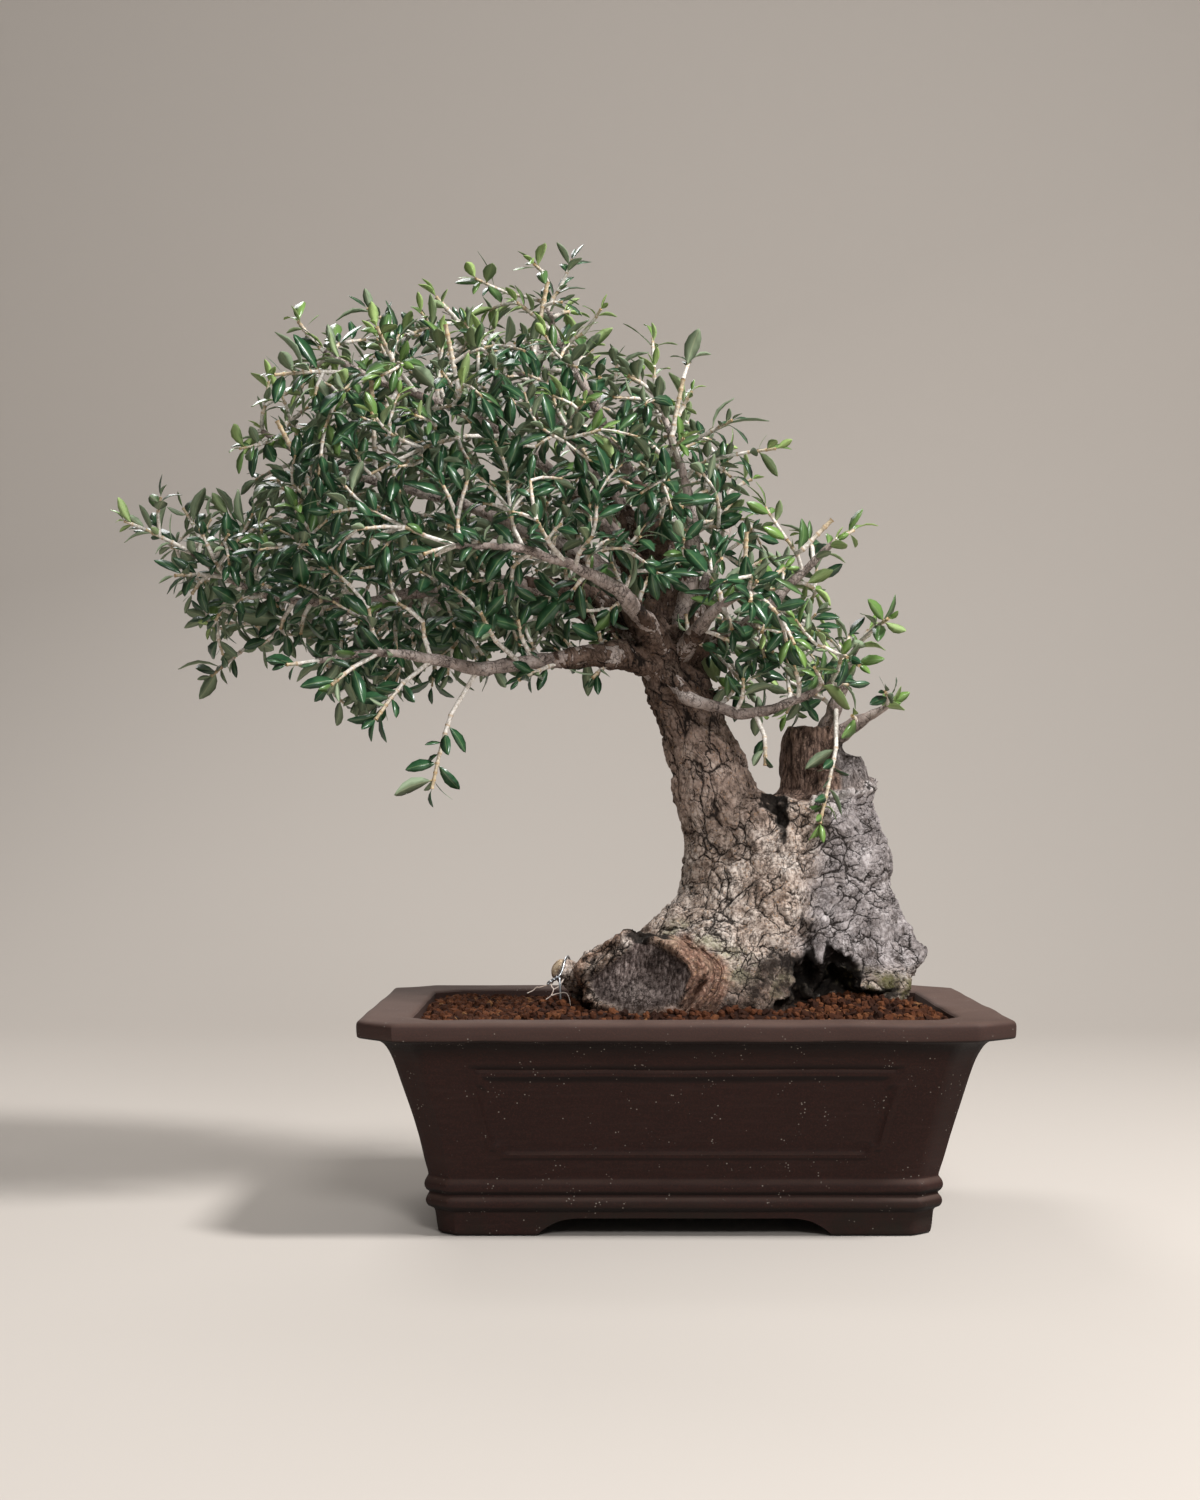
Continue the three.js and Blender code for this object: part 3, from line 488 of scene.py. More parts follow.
def stoneware(settings):
    """Unglazed reduction-fired stoneware: matt, dark and a little purple, with pale grit that shows
    as specks, streaks where the leather-hard clay was wiped, and dust where hands don't rub. The rim is
    painted paler, partly as rubbed and partly as painted light, and what faces down is painted shade."""
    material, tree, place = surface("unglazed_stoneware")
    # wiping streaks, about 2 mm apart and long along X and Y
    stretched = add(tree, "ShaderNodeMapping", {"Vector": place, "Scale": (45, 45, 480)})
    patterns = lay_patterns(tree, place, {
        "clouds": (28, 6, 0.6), "streaks": (1, 3, 0.5, stretched), "tooth": (900, 4, 0.7),
        "sparse": (90, 3, 0.5),
    })
    normal = add(tree, "ShaderNodeNewGeometry").outputs["Normal"]
    patterns["facing"] = add(tree, "ShaderNodeSeparateXYZ", {"Vector": normal}).outputs["Z"]
    patterns["height"] = add(tree, "ShaderNodeSeparateXYZ", {"Vector": place}).outputs["Z"]
    # grit about 0.5 mm across, sparse
    patterns["grit"] = add(tree, "ShaderNodeTexVoronoi", {"Vector": place, "Scale": 400, "Randomness": 1})
    colour = paint(tree, patterns, [
        (linear(settings.colour, 0.78),),
        (linear(settings.colour, 1.3), "clouds"),
        ("6a5650", ("streaks", 0.5, 0.8, 0, 0.06)),
        # the tooth of the clay mottles it finely, and damp has stained the feet
        (linear(settings.colour, 2.1), ("tooth", 0.46, 0.62, 0, 0.8)),
        ("1f1a14", ("height", 0.03, 0.008, 0, 0.8), ("clouds", 0.4, 0.6)),
        # dust lies on what faces up
        ("7d665b", ("facing", 0.2, 1, 0, 0.42), ("clouds", 0.3, 0.75, 0.45, 1)),
        # the rim is painted paler, partly as rubbed by hands and partly as painted light on its top; what
        # faces down, under the rim and the beads, is painted dark as painted shade
        ("8f766d", ("height", 0.1165, 0.1185, 0, 0.09)),
        ("0d0706", ("facing", -0.4, -0.62, 0, 0.8)),
        (settings.speck_colour, ("grit", 0.2, 0.1), ("sparse", 0.56, 0.62)),
    ])
    grain = add(tree, "ShaderNodeMath", {
        0: patterns["streaks"], 1: 0.15, 2: patterns["tooth"],
    }, operation="MULTIPLY_ADD")
    finish(tree, {
        "Base Color": colour, "Roughness": measure(tree, patterns, ("tooth", 0.3, 0.7, 0.62, 0.8)),
        "Specular IOR Level": 0.22,
    }, grain, 0.45, 0.25)
    return material


class BONSAI_OT_pot(bpy.types.Operator):
    """Model the stoneware pot, with its panels, bands and feet"""
    bl_idname = "bonsai.pot"
    bl_label = "Pot"

    def execute(self, context):
        settings = context.scene.bonsai_pot
        depth = settings.panel_depth / MM
        rings = [pot_ring(*row, depth) for row in pot_profile_rows()]
        rings += [pot_ring(*row, 0) for row in along(POT_CAVITY, 3)]
        points, faces = stack_rings([np.array(ring) for ring in rings])
        # walls pressed by hand are never quite straight
        uneven = np.array([noise.noise_vector(Vector(p) / 38) for p in points.tolist()])
        sideways, upright = np.full(len(points), 0.8), fade(points[:, 2], 110, 30) * 0.6
        uneven *= np.stack([sideways, sideways, upright], axis=1)
        pot = mesh_object("stoneware_pot", points + uneven, faces)
        cutters = []
        for halves, turned in FOOT_GAPS:
            cutters.append(mesh_object("foot_gap", *foot_gap_cutter(*halves, turned)))
        for side in (-1, 1):
            hole = [(side * DRAIN_OFFSET, 0, z) for z in (-2, 12, 30)]
            cutters.append(mesh_object("drain_hole", *tube(hole, [DRAIN_RADIUS] * 3, 32)))
        cut_away(pot, cutters)
        pot.data.materials.append(stoneware(settings))
        pot.data.shade_smooth()
        pot.data.set_sharp_from_angle(angle=math.radians(42))
        dress(pot, "pot", slot="stoneware")
        return {"FINISHED"}


class BONSAI_OT_drain_meshes(bpy.types.Operator):
    """Finish the two plastic meshes over the drain holes"""
    bl_idname = "bonsai.drain_meshes"
    bl_label = "Drain meshes"

    def execute(self, context):
        # Moulded black polyethylene: waxy, half matt, with a faint tooth.
        material, tree, place = surface("moulded_polyethylene")
        patterns = lay_patterns(tree, place, {"tooth": (700, 3, 0.5)})
        colour = paint(tree, patterns, [("16181a",), ("262a2b", "tooth")])
        finish(tree, {"Base Color": colour, "Roughness": 0.48}, patterns["tooth"], 0.3, 0.1)
        for name in ("drain_mesh_left", "drain_mesh_right"):
            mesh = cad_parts[name].data
            mesh.materials.clear()
            mesh.materials.append(material)
        return {"FINISHED"}


# ------------------------------------------------------------------------------ the wood
# Level ellipses from the bottom up: height, centre x, centre y, half width, half depth.
ROOT_BASE = [
    (108, 36, -3, 96, 63), (114, 37, -4, 97, 64), (124, 39, -5, 99, 66), (133, 41, -5, 99, 65),
    (142, 44, -5, 97, 62), (152, 48, -4, 92, 58), (162, 53, -4, 86, 55), (171, 57, -3, 80, 53),
    (187, 64, -2, 71, 50), (205, 66, 0, 65, 46), (224, 67, 2, 61, 43), (243, 64, 2, 57, 39),
    (254, 61, 2, 50, 33), (261, 62, 2, 32, 21),
]
LEANING_TRUNK = [
    (196, 38, -3, 36, 36), (224, 34, -2, 30, 32), (243, 31, -1, 28.5, 29), (262, 23, 0, 26, 26),
    (281, 17, 0, 23.5, 24), (300, 9, 0, 21, 22), (318, 3, 0, 21, 21), (332, -3, 0, 20, 20),
    (346, -8, 0, 17, 18), (356, -10, 1, 12, 13),
]
OLD_STUMP = [
    (208, 98, 3, 34, 38), (226, 98, 4, 33, 35), (243, 96, 4, 29, 31), (255, 94, 4, 28, 29),
    (268, 96, 4, 26.5, 28), (277, 96, 4, 24, 26),
]
DEAD_SNAG = [(262, 84, 6, 21, 20), (278, 83, 6, 21, 19), (292, 84, 6, 20.5, 18), (303, 85, 5, 18, 15)]
SNAG_SHOULDER = [(262, 110, 4, 12, 15), (276, 110, 5, 11, 13), (286, 109, 5, 7, 9)]
# Turn in degrees, height, half width in degrees, half height, how far the surface stands out.
ROOT_BUMPS = [
    (-3, 160, 13, 13, 15), (-24, 140, 12, 14, 7), (-62, 136, 12, 18, 9), (-96, 142, 12, 22, 10),
    (186, 138, 14, 16, 8), (207, 160, 14, 14, 9), (150, 132, 15, 20, 8), (112, 138, 14, 22, 9),
    (68, 136, 14, 20, 8), (30, 142, 13, 18, 7), (128, 176, 16, 20, -5), (52, 176, 18, 20, -4),
    (-75, 196, 10, 34, -5), (92, 214, 12, 40, -7), (204, 181, 14, 13, 12), (-118, 172, 10, 12, 5),
]
# Rotted hollows: centre, half sizes.
HOLLOWS = [
    ((92, -58, 143), (15, 31, 22)), ((98, -56, 133), (36, 30, 10)), ((76, -60, 146), (13, 22, 17)),
    ((-14, -54, 175.5), (19, 14, 6.5)), ((-30, -54, 178), (11, 10, 3)), ((57, -30, 256), (8, 17, 11)),
    ((61, -44, 245), (4, 17, 8)), ((63, -47, 239), (3, 17, 9)),
]
HOLLOW_LUMPS = 0.42  # how unevenly the hollows' walls stand in and out
BARK_STUB = ([(80, -44, 182), (81, -51, 170), (83, -55, 156)], [9, 5.5, 3.5])  # hangs in the big hollow
BURIED = 116  # the wood ends flat at this height, under the granules
CUT_FACE = (-27, -64, 151)
CUT_TURNED, CUT_TIPPED = math.radians(-24), math.radians(12)
# Depth behind the face, half width, half height.
CUT_STUB = [(0, 36, 21), (1.5, 38, 23), (5, 40, 25), (62, 30, 24)]
CUT_ROOT = [(-50, -18, 137), (-64, -24, 146), (-77, -29, 153.5)]
# x, y, z, radius from the trunk outwards.
LIMBS = {
    "low_front": [(-8, -6, 338, 10), (-42, -25, 345, 7.3), (-80, -45, 340, 5.2), (-122, -60, 335, 4.1),
        (-150, -75, 339, 3.1), (-182, -88, 342, 2.2), (-214, -92, 337, 1.7)],
    "low_back": [(-8, 8, 342, 10), (-50, 30, 374, 6.9), (-89, 48, 385, 4.8), (-135, 62, 387, 3.7),
        (-189, 75, 384, 2.8), (-235, 80, 376, 2.1), (-270, 80, 366, 1.7)],
    "long_left": [(-10, 0, 348, 11), (-50, -5, 379, 6.9), (-99, -12, 390, 4.8), (-149, -18, 386, 3.8),
        (-192, -22, 379, 3.1), (-235, -22, 378, 2.5), (-272, -20, 388, 1.9), (-303, -15, 409, 1.7)],
    "mid_left": [(-12, 4, 352, 9), (-50, 12, 401, 6), (-94, 18, 426, 4.1), (-145, 24, 446, 3.3),
        (-197, 26, 460, 2.4), (-238, 24, 474, 1.8), (-265, 20, 491, 1.7)],
    "up_left": [(-8, -2, 350, 9), (-37, -12, 414, 6), (-74, -25, 453, 4.1), (-111, -35, 481, 3.3),
        (-153, -42, 499, 2.4), (-189, -44, 512, 1.8), (-217, -44, 528, 1.7)],
    "up_back": [(-6, 6, 350, 9), (-24, 28, 422, 5.8), (-56, 40, 468, 3.8), (-82, 46, 507, 2.8),
        (-109, 44, 539, 1.9), (-140, 38, 563, 1.7)],
    "apex": [(-4, 0, 350, 9), (-12, 0, 419, 6), (-36, -5, 468, 4), (-55, -10, 505, 3),
        (-73, -12, 535, 2.1), (-82, -12, 561, 1.7)],
    "up_right": [(-2, -4, 348, 8), (7, -12, 405, 5.2), (6, -18, 441, 3.4), (-5, -22, 478, 2.4),
        (-15, -24, 505, 1.7)],
    "right_up": [(-2, 6, 346, 8), (23, 24, 402, 4.8), (31, 36, 442, 2.8), (28, 42, 474, 1.7)],
    "right": [(-2, -4, 344, 8), (40, -20, 363, 5), (62, -30, 383, 3.4), (80, -36, 401, 2.5),
        (94, -38, 414, 1.7)],
    "crossing": [(-10, -12, 338, 6.5), (5, -33, 319, 4.3), (37, -45, 308, 3.4), (66, -50, 315, 2.7),
        (90, -52, 327, 1.7)],
    "stump_up": [(90, 4, 294, 7), (99, 0, 318, 4.3), (106, -6, 342, 2.5), (113, -10, 355, 1.7)],
    "stump_right": [(98, 2, 294, 6), (118, -6, 308, 3.1), (129, -12, 315, 1.7)],
    "back": [(-6, 10, 346, 8), (-24, 58, 394, 5), (-57, 92, 416, 3.3), (-97, 112, 430, 2.4),
        (-144, 120, 438, 1.7)],
    "front": [(-8, -10, 344, 8), (-32, -52, 376, 5), (-61, -82, 391, 3.3), (-96, -104, 401, 2.4),
        (-133, -114, 402, 1.7)],
    "back_right": [(-2, 8, 344, 7), (28, 52, 384, 3.4), (57, 78, 401, 1.7)],
    "front_right": [(-2, -8, 344, 7), (20, -58, 369, 3.4), (38, -82, 379, 1.7)],
}
CARVED_SHARE = 0.34  # how much of each limb is carved in one with the trunk


def column(rings, sides, flutes, bumps=()):
    """A knobbly column of level ellipses."""
    turns = round_turns(sides)
    levels = []
    for height, cx, cy, half_width, half_depth in along(rings, 4):
        ripple = 1 + flutes * np.sin(3 * turns + height * 0.045)
        ripple += flutes * 0.7 * np.sin(7 * turns - height * 0.06)
        raised = np.zeros(sides)
        for degrees, level, spread, tall, out in bumps:
            off = (np.degrees(turns) - degrees + 180) % 360 - 180
            raised += out * np.exp(-((off / spread) ** 2) - ((height - level) / tall) ** 2)
        levels.append(np.stack([
            cx + np.cos(turns) * (half_width * ripple + raised),
            cy + np.sin(turns) * (half_depth * ripple + raised),
            np.full(sides, height),
        ], axis=1))
    return stack_rings(levels)


def cut_place(points):
    """Points of the sawn root's own space: across, behind the face, up."""
    points = np.asarray(points, float) - CUT_FACE
    c, s = math.cos(-CUT_TURNED), math.sin(-CUT_TURNED)
    x, y = points[:, 0] * c - points[:, 1] * s, points[:, 0] * s + points[:, 1] * c
    c, s = math.cos(CUT_TIPPED), math.sin(CUT_TIPPED)
    return x, y * c - points[:, 2] * s, y * s + points[:, 2] * c


def sawn_root():
    """The stub of a big root, sawn off at the front left."""
    turns = round_turns(48)
    wobble = 1 + 0.06 * np.sin(3 * turns + 0.8) + 0.03 * np.sin(5 * turns)
    matrix = Matrix.Rotation(CUT_TURNED, 3, "Z") @ Matrix.Rotation(-CUT_TIPPED, 3, "X")
    rings = []
    for back, half_width, half_height in CUT_STUB[::-1]:
        ring = []
        for turn, w in zip(turns, wobble):
            across, up = math.cos(turn) * half_width * w, math.sin(turn) * half_height * w
            ring.append(matrix @ Vector((across, back, up)))
        rings.append(np.array(ring) + CUT_FACE)
    return stack_rings(rings)


def hollow_lump(place):
    """How far a hollow's wall stands in or out, as a share of the hollow's size."""
    return HOLLOW_LUMPS * noise.fractal(Vector(place) / 8, 0.7, 2.1, 3)


def rotted_hollow(centre, half_sizes):
    """A lumpy closed form that hollows the wood out."""
    shape = bmesh.new()
    bmesh.ops.create_icosphere(shape, subdivisions=4, radius=1)
    points = []
    for corner in shape.verts:
        place = corner.co * Vector(half_sizes)
        points.append(np.array(centre) + np.array(place) * (1 + hollow_lump(place + Vector(centre))))
    faces = [[corner.index for corner in face.verts] for face in shape.faces]
    shape.free()
    return mesh_object("hollow", points, faces)


def limb_line(name, share=1.0, per_span=6):
    """Centre points and radii of a limb, up to a share of its length."""
    knots = LIMBS[name]
    line = smooth_through(knots, np.linspace(0, share, max(4, int(len(knots) * per_span * share))))
    return line[:, :3], line[:, 3]


def near_segment(points, start, end):
    """Distance of each point from a segment."""
    start, end = np.array(start, float), np.array(end, float)
    way = end - start
    t = np.clip(((points - start) @ way) / way.dot(way), 0, 1)
    return np.linalg.norm(points - start - t[:, None] * way, axis=1)


def fade(values, full, none):
    """1 where values reach full, 0 where they reach none, smooth between."""
    t = np.clip((values - none) / (full - none), 0, 1)
    return t * t * (3 - 2 * t)


def rough(points, size, octaves=3):
    """Fractal noise at each point, its largest lumps about this many millimetres apart."""
    return np.array([noise.fractal(Vector(p) / size, 0.9, 2.1, octaves) for p in points.tolist()])


def in_hollow(points):
    """1 on the walls of the hollows and 0 outside them."""
    inside = np.zeros(len(points))
    for centre, half_sizes in HOLLOWS:
        reach = np.linalg.norm((points - centre) / np.array(half_sizes), axis=1)
        near = reach < 1.6
        on_form = (points[near] - centre) / reach[near, None] + centre
        past = reach[near] - 1 - np.array([hollow_lump(p) for p in on_form.tolist()])
        inside[near] = np.maximum(inside[near], fade(past, 0.04, 0.14))
    return inside


def wood_regions(points):
    """Which kind of surface each corner of the wood has, as shares from 0 to 1."""
    x, y, z = points.T
    across, behind, up = cut_place(points)
    uneven = rough(points, 14)
    radial = np.hypot(across / 36, up / 22) * (1 + 0.12 * uneven)
    radial += 0.35 * np.clip(up / 22, 0, 1) * np.abs(across / 36)
    ragged = radial + 0.13 * rough(points, 6, 2)
    face = fade(behind, 3.5, 6) * fade(radial, 0.97, 1.01) * fade(behind, -14, -20)
    fold = np.exp(-((near_segment(np.stack([across, up], axis=1), (-31, 1), (-9, 18)) / 4.6) ** 2))
    fold *= fade(behind, 14, 24)
    face = face * (1 - fade(fold, 0.62, 0.45))
    lip = np.exp(-(((radial - 1.1) / 0.11) ** 2)) * fade(behind, 14, 26) * fade(across, 22, 34) * (1 - face)
    callus = fade(behind, 30, 44) * fade(ragged, 1.5, 1.75) * fade(across, 20, 6)
    callus = callus * fade(z, 170, 178) * (1 - face)
    collar = 262 + 0.3 * (x - 98) + 5 * uneven
    dead = fade(z - collar, 1.2, -1.2) * fade(np.hypot(x - 88, y - 5), 32, 40)
    rim = np.exp(-(((z - collar + 3.5) / 3.2) ** 2)) * fade(np.hypot(x - 95, y - 4), 36, 42) * (1 - dead)
    stump = fade(x - 0.25 * (z - 200) + 5 * uneven, 88, 66) * fade(z, 158, 140) * (1 - dead)
    trunk = fade(z, 262, 215) * fade(x, 52, 66) * (1 - dead)
    front = fade(y, -10, 25)
    end, way = np.array(CUT_ROOT[2]), np.array(CUT_ROOT[2]) - CUT_ROOT[1]
    beyond = (points - end) @ (way / np.linalg.norm(way))
    sweep = near_segment(points[:, (0, 2)], (-2, 171), (66, 140))
    edge = near_segment(points[:, (0, 2)], (92, 150), (140, 138))
    foot = near_segment(points[:, (0, 2)], (34, 130), (60, 146))
    return {
        "sawn": face, "lip": lip, "callus": callus, "dead": dead, "rim": rim, "fold": fold,
        "rings": np.hypot(across / 36, up / 22) * 27 + 2.2 * rough(points, 16, 2),
        "fresh": fade(beyond, -0.6, -2.2) * fade(np.linalg.norm(points - end, axis=1), 6.5, 8),
        "pale_cut": np.exp(-(((across + 2) / 15) ** 2) - ((up + 11) / 8) ** 2),
        "grey_dead": dead * fade(x, 101, 97),
        # shade marks the hollows' walls and low the wood by the granules; the bark paints both darker as
        # painted shade
        "stump": stump, "trunk": trunk, "shade": in_hollow(points), "low": fade(z, 126, 142),
        "lichen": fade(sweep, 6, 15) * front * (1 - 0.8 * callus),
        "moss": fade(edge, 4, 11) * front,
        # the foot left of the big hollow, painted browner, with near-black patches of painted shadow
        "damp": fade(foot, 13, 25) * front * (1 - callus) * (1 - face),
        # upper: the trunk below the crown, which the bark paints darker as painted shadow of the crown
        "upper": fade(z, 330, 262) * (1 - dead),
        "flaky": np.clip(1 - 0.5 * stump - 0.45 * trunk - 0.8 * callus - dead, 0, 1),
    }


def bark_places(points, region):
    """Where each corner lies in the pattern of bark plates, one unit to a plate: short blocks on
    the stump, long ones that follow the leaning trunk, and all of them fanning out at the base."""
    warp = np.array([noise.noise_vector(Vector(p) / 21) * 5 + noise.noise_vector(Vector(p) / 6) * 1.4
                     for p in points.tolist()])
    x, y, z = (points + warp).T
    trunk, stump = region["trunk"], region["stump"]
    x = x + 0.31 * (z - 243) * trunk
    fan = 1 + 0.008 * np.clip(205 - z, 0, 70) * (1 - stump)
    wide, tall = 7.2 + 0.6 * stump + 1.5 * trunk, 9.5 + 14 * trunk - 3.5 * stump
    return np.stack([(x - 60) / fan / wide, (y + 40) / wide, (z - 243) / tall], axis=1)


def carve(points, region):
    """How far each corner moves out, in millimetres, how deep in a crease it lies, and how much of
    the pattern of plates shows there."""
    across, behind, up = cut_place(points)
    sawn, callus, dead, lip = (region[name] for name in ("sawn", "callus", "dead", "lip"))
    stump, trunk = region["stump"], region["trunk"]
    special = np.max([sawn, dead, region["fresh"], 0.8 * callus, region["shade"] * 0.6], axis=0)
    plain = np.clip(1 - special, 0, 1)
    knobs = rough(points, 5.5)
    lift = 2.3 * rough(points, 26) + 1.2 * (1 - 0.4 * stump) * knobs * plain * (1 - 0.8 * callus)
    lift += 2.6 * rough(points, 10) * fade(points[:, 0], 134, 116) * fade(points[:, 2], 200, 215) * plain
    lift = lift * (1 - sawn) + sawn * (0.5 * rough(points, 9) + 0.35 * knobs - 2.6)
    # bark rolls over the edge of the cut, and heals over it in folds from the right
    lift += lip * (3.4 + 2.2 * rough(points, 8, 2)) + region["fold"] * (4.2 + 1.5 * knobs)
    rolls = np.sin(region["rings"] * 1.05)
    lift += callus * (0.7 * rolls + 1.8) + region["rim"] * (2.0 + 1.6 * knobs)
    # bare wood stands back from the bark and splits along its grain
    grain = np.array([noise.noise(Vector((x / 4, y / 4, z / 44))) for x, y, z in points.tolist()])
    split = np.clip(1 - np.abs(grain) / 0.13, 0, 1)
    lift -= dead * (2.4 + 1.2 * split + 1.2 * rough(points, 9, 2))
    crease = np.max([callus * np.clip(-rolls - 0.5, 0, 1) * 0.7, dead * split * 0.8], axis=0)
    broken = rough(points, 17, 2)
    wide = 0.55 + 0.2 * stump * fade(points[:, 2], 205, 175) + 0.05 * trunk + 0.9 * broken
    opened = plain * np.clip(wide, 0.05, 1.1)
    return lift, crease, opened, plain


def plate_cracks(tree, plates, opened):
    """Nodes that give how near a place in the pattern of plates is to a crack, from 0 to 1: wide,
    ragged cracks round blocks of plates, and narrower, broken ones between the plates."""
    ragged = add(tree, "ShaderNodeTexNoise", {
        "Vector": plates, "Scale": 1.1, "Detail": 5.0, "Roughness": 0.72,
    }).outputs["Color"]
    bend = add(tree, "ShaderNodeVectorMath", {0: ragged, "Scale": 0.7}, operation="SCALE")
    bent = add(tree, "ShaderNodeVectorMath", {0: plates, 1: bend})
    patchy = {"patchy": add(tree, "ShaderNodeTexNoise", {"Vector": plates, "Scale": 0.8, "Detail": 3.0})}
    found = 0.0
    for scale, width, shown in ((0.5, 0.062, 0.4), (1.15, 0.07, 0.49)):
        edge = add(tree, "ShaderNodeTexVoronoi", {
            "Vector": bent, "Scale": scale,
        }, feature="DISTANCE_TO_EDGE")
        strength = ("patchy", shown - 0.1, shown + 0.1, 0.06, 1.0)
        near = add(tree, "ShaderNodeMapRange", {
            "Value": edge, 1: 0.0, 2: measure(tree, patchy, strength, opened, width), 3: 1.0, 4: 0.0,
        })
        found = add(tree, "ShaderNodeMath", {0: found, 1: near}, operation="MAXIMUM")
    return found, bent


def relief_tree():
    """Raises the plates of bark and sinks the cracks between them, then joins the thin limbs on."""
    tree, given = geometry_tree("Bark relief", {
        "Wood": "Geometry", "Limbs": "Object", "Plate height": "Float", "Finish": "Material",
    }, "Carved wood")
    marks = {}
    for name in ("opened", "plain", "lift", "plates"):
        kind = "FLOAT_VECTOR" if name == "plates" else "FLOAT"
        marks[name] = add(tree, "GeometryNodeInputNamedAttribute", {"Name": name}, data_type=kind)
    # the mesh can't hold the narrow cracks, so there they are carved wider than they are drawn
    crack, _ = plate_cracks(tree, marks["plates"], measure(tree, marks, "opened", 2.5))
    plate = add(tree, "ShaderNodeMapRange", {
        "Value": crack, 3: 0.4, 4: -0.6,
    }, interpolation_type="SMOOTHSTEP")
    raised = measure(tree, marks, plate, "plain", given["Plate height"])
    out = add(tree, "ShaderNodeMath", {0: raised, 1: marks["lift"]})
    normal = add(tree, "GeometryNodeInputNormal")
    way = add(tree, "ShaderNodeVectorMath", {0: normal, "Scale": out}, operation="SCALE")
    moved = add(tree, "GeometryNodeSetPosition", {"Geometry": given["Wood"], "Offset": way})
    limbs = add(tree, "GeometryNodeObjectInfo", {"Object": given["Limbs"]}).outputs["Geometry"]
    both = add(tree, "GeometryNodeJoinGeometry", {"Geometry": [limbs, moved]})
    solid = add(tree, "GeometryNodeRealizeInstances", {"Geometry": both})
    dressed = add(tree, "GeometryNodeSetMaterial", {"Geometry": solid, "Material": given["Finish"]})
    add(tree, "NodeGroupOutput", {"Carved wood": dressed})
    return tree


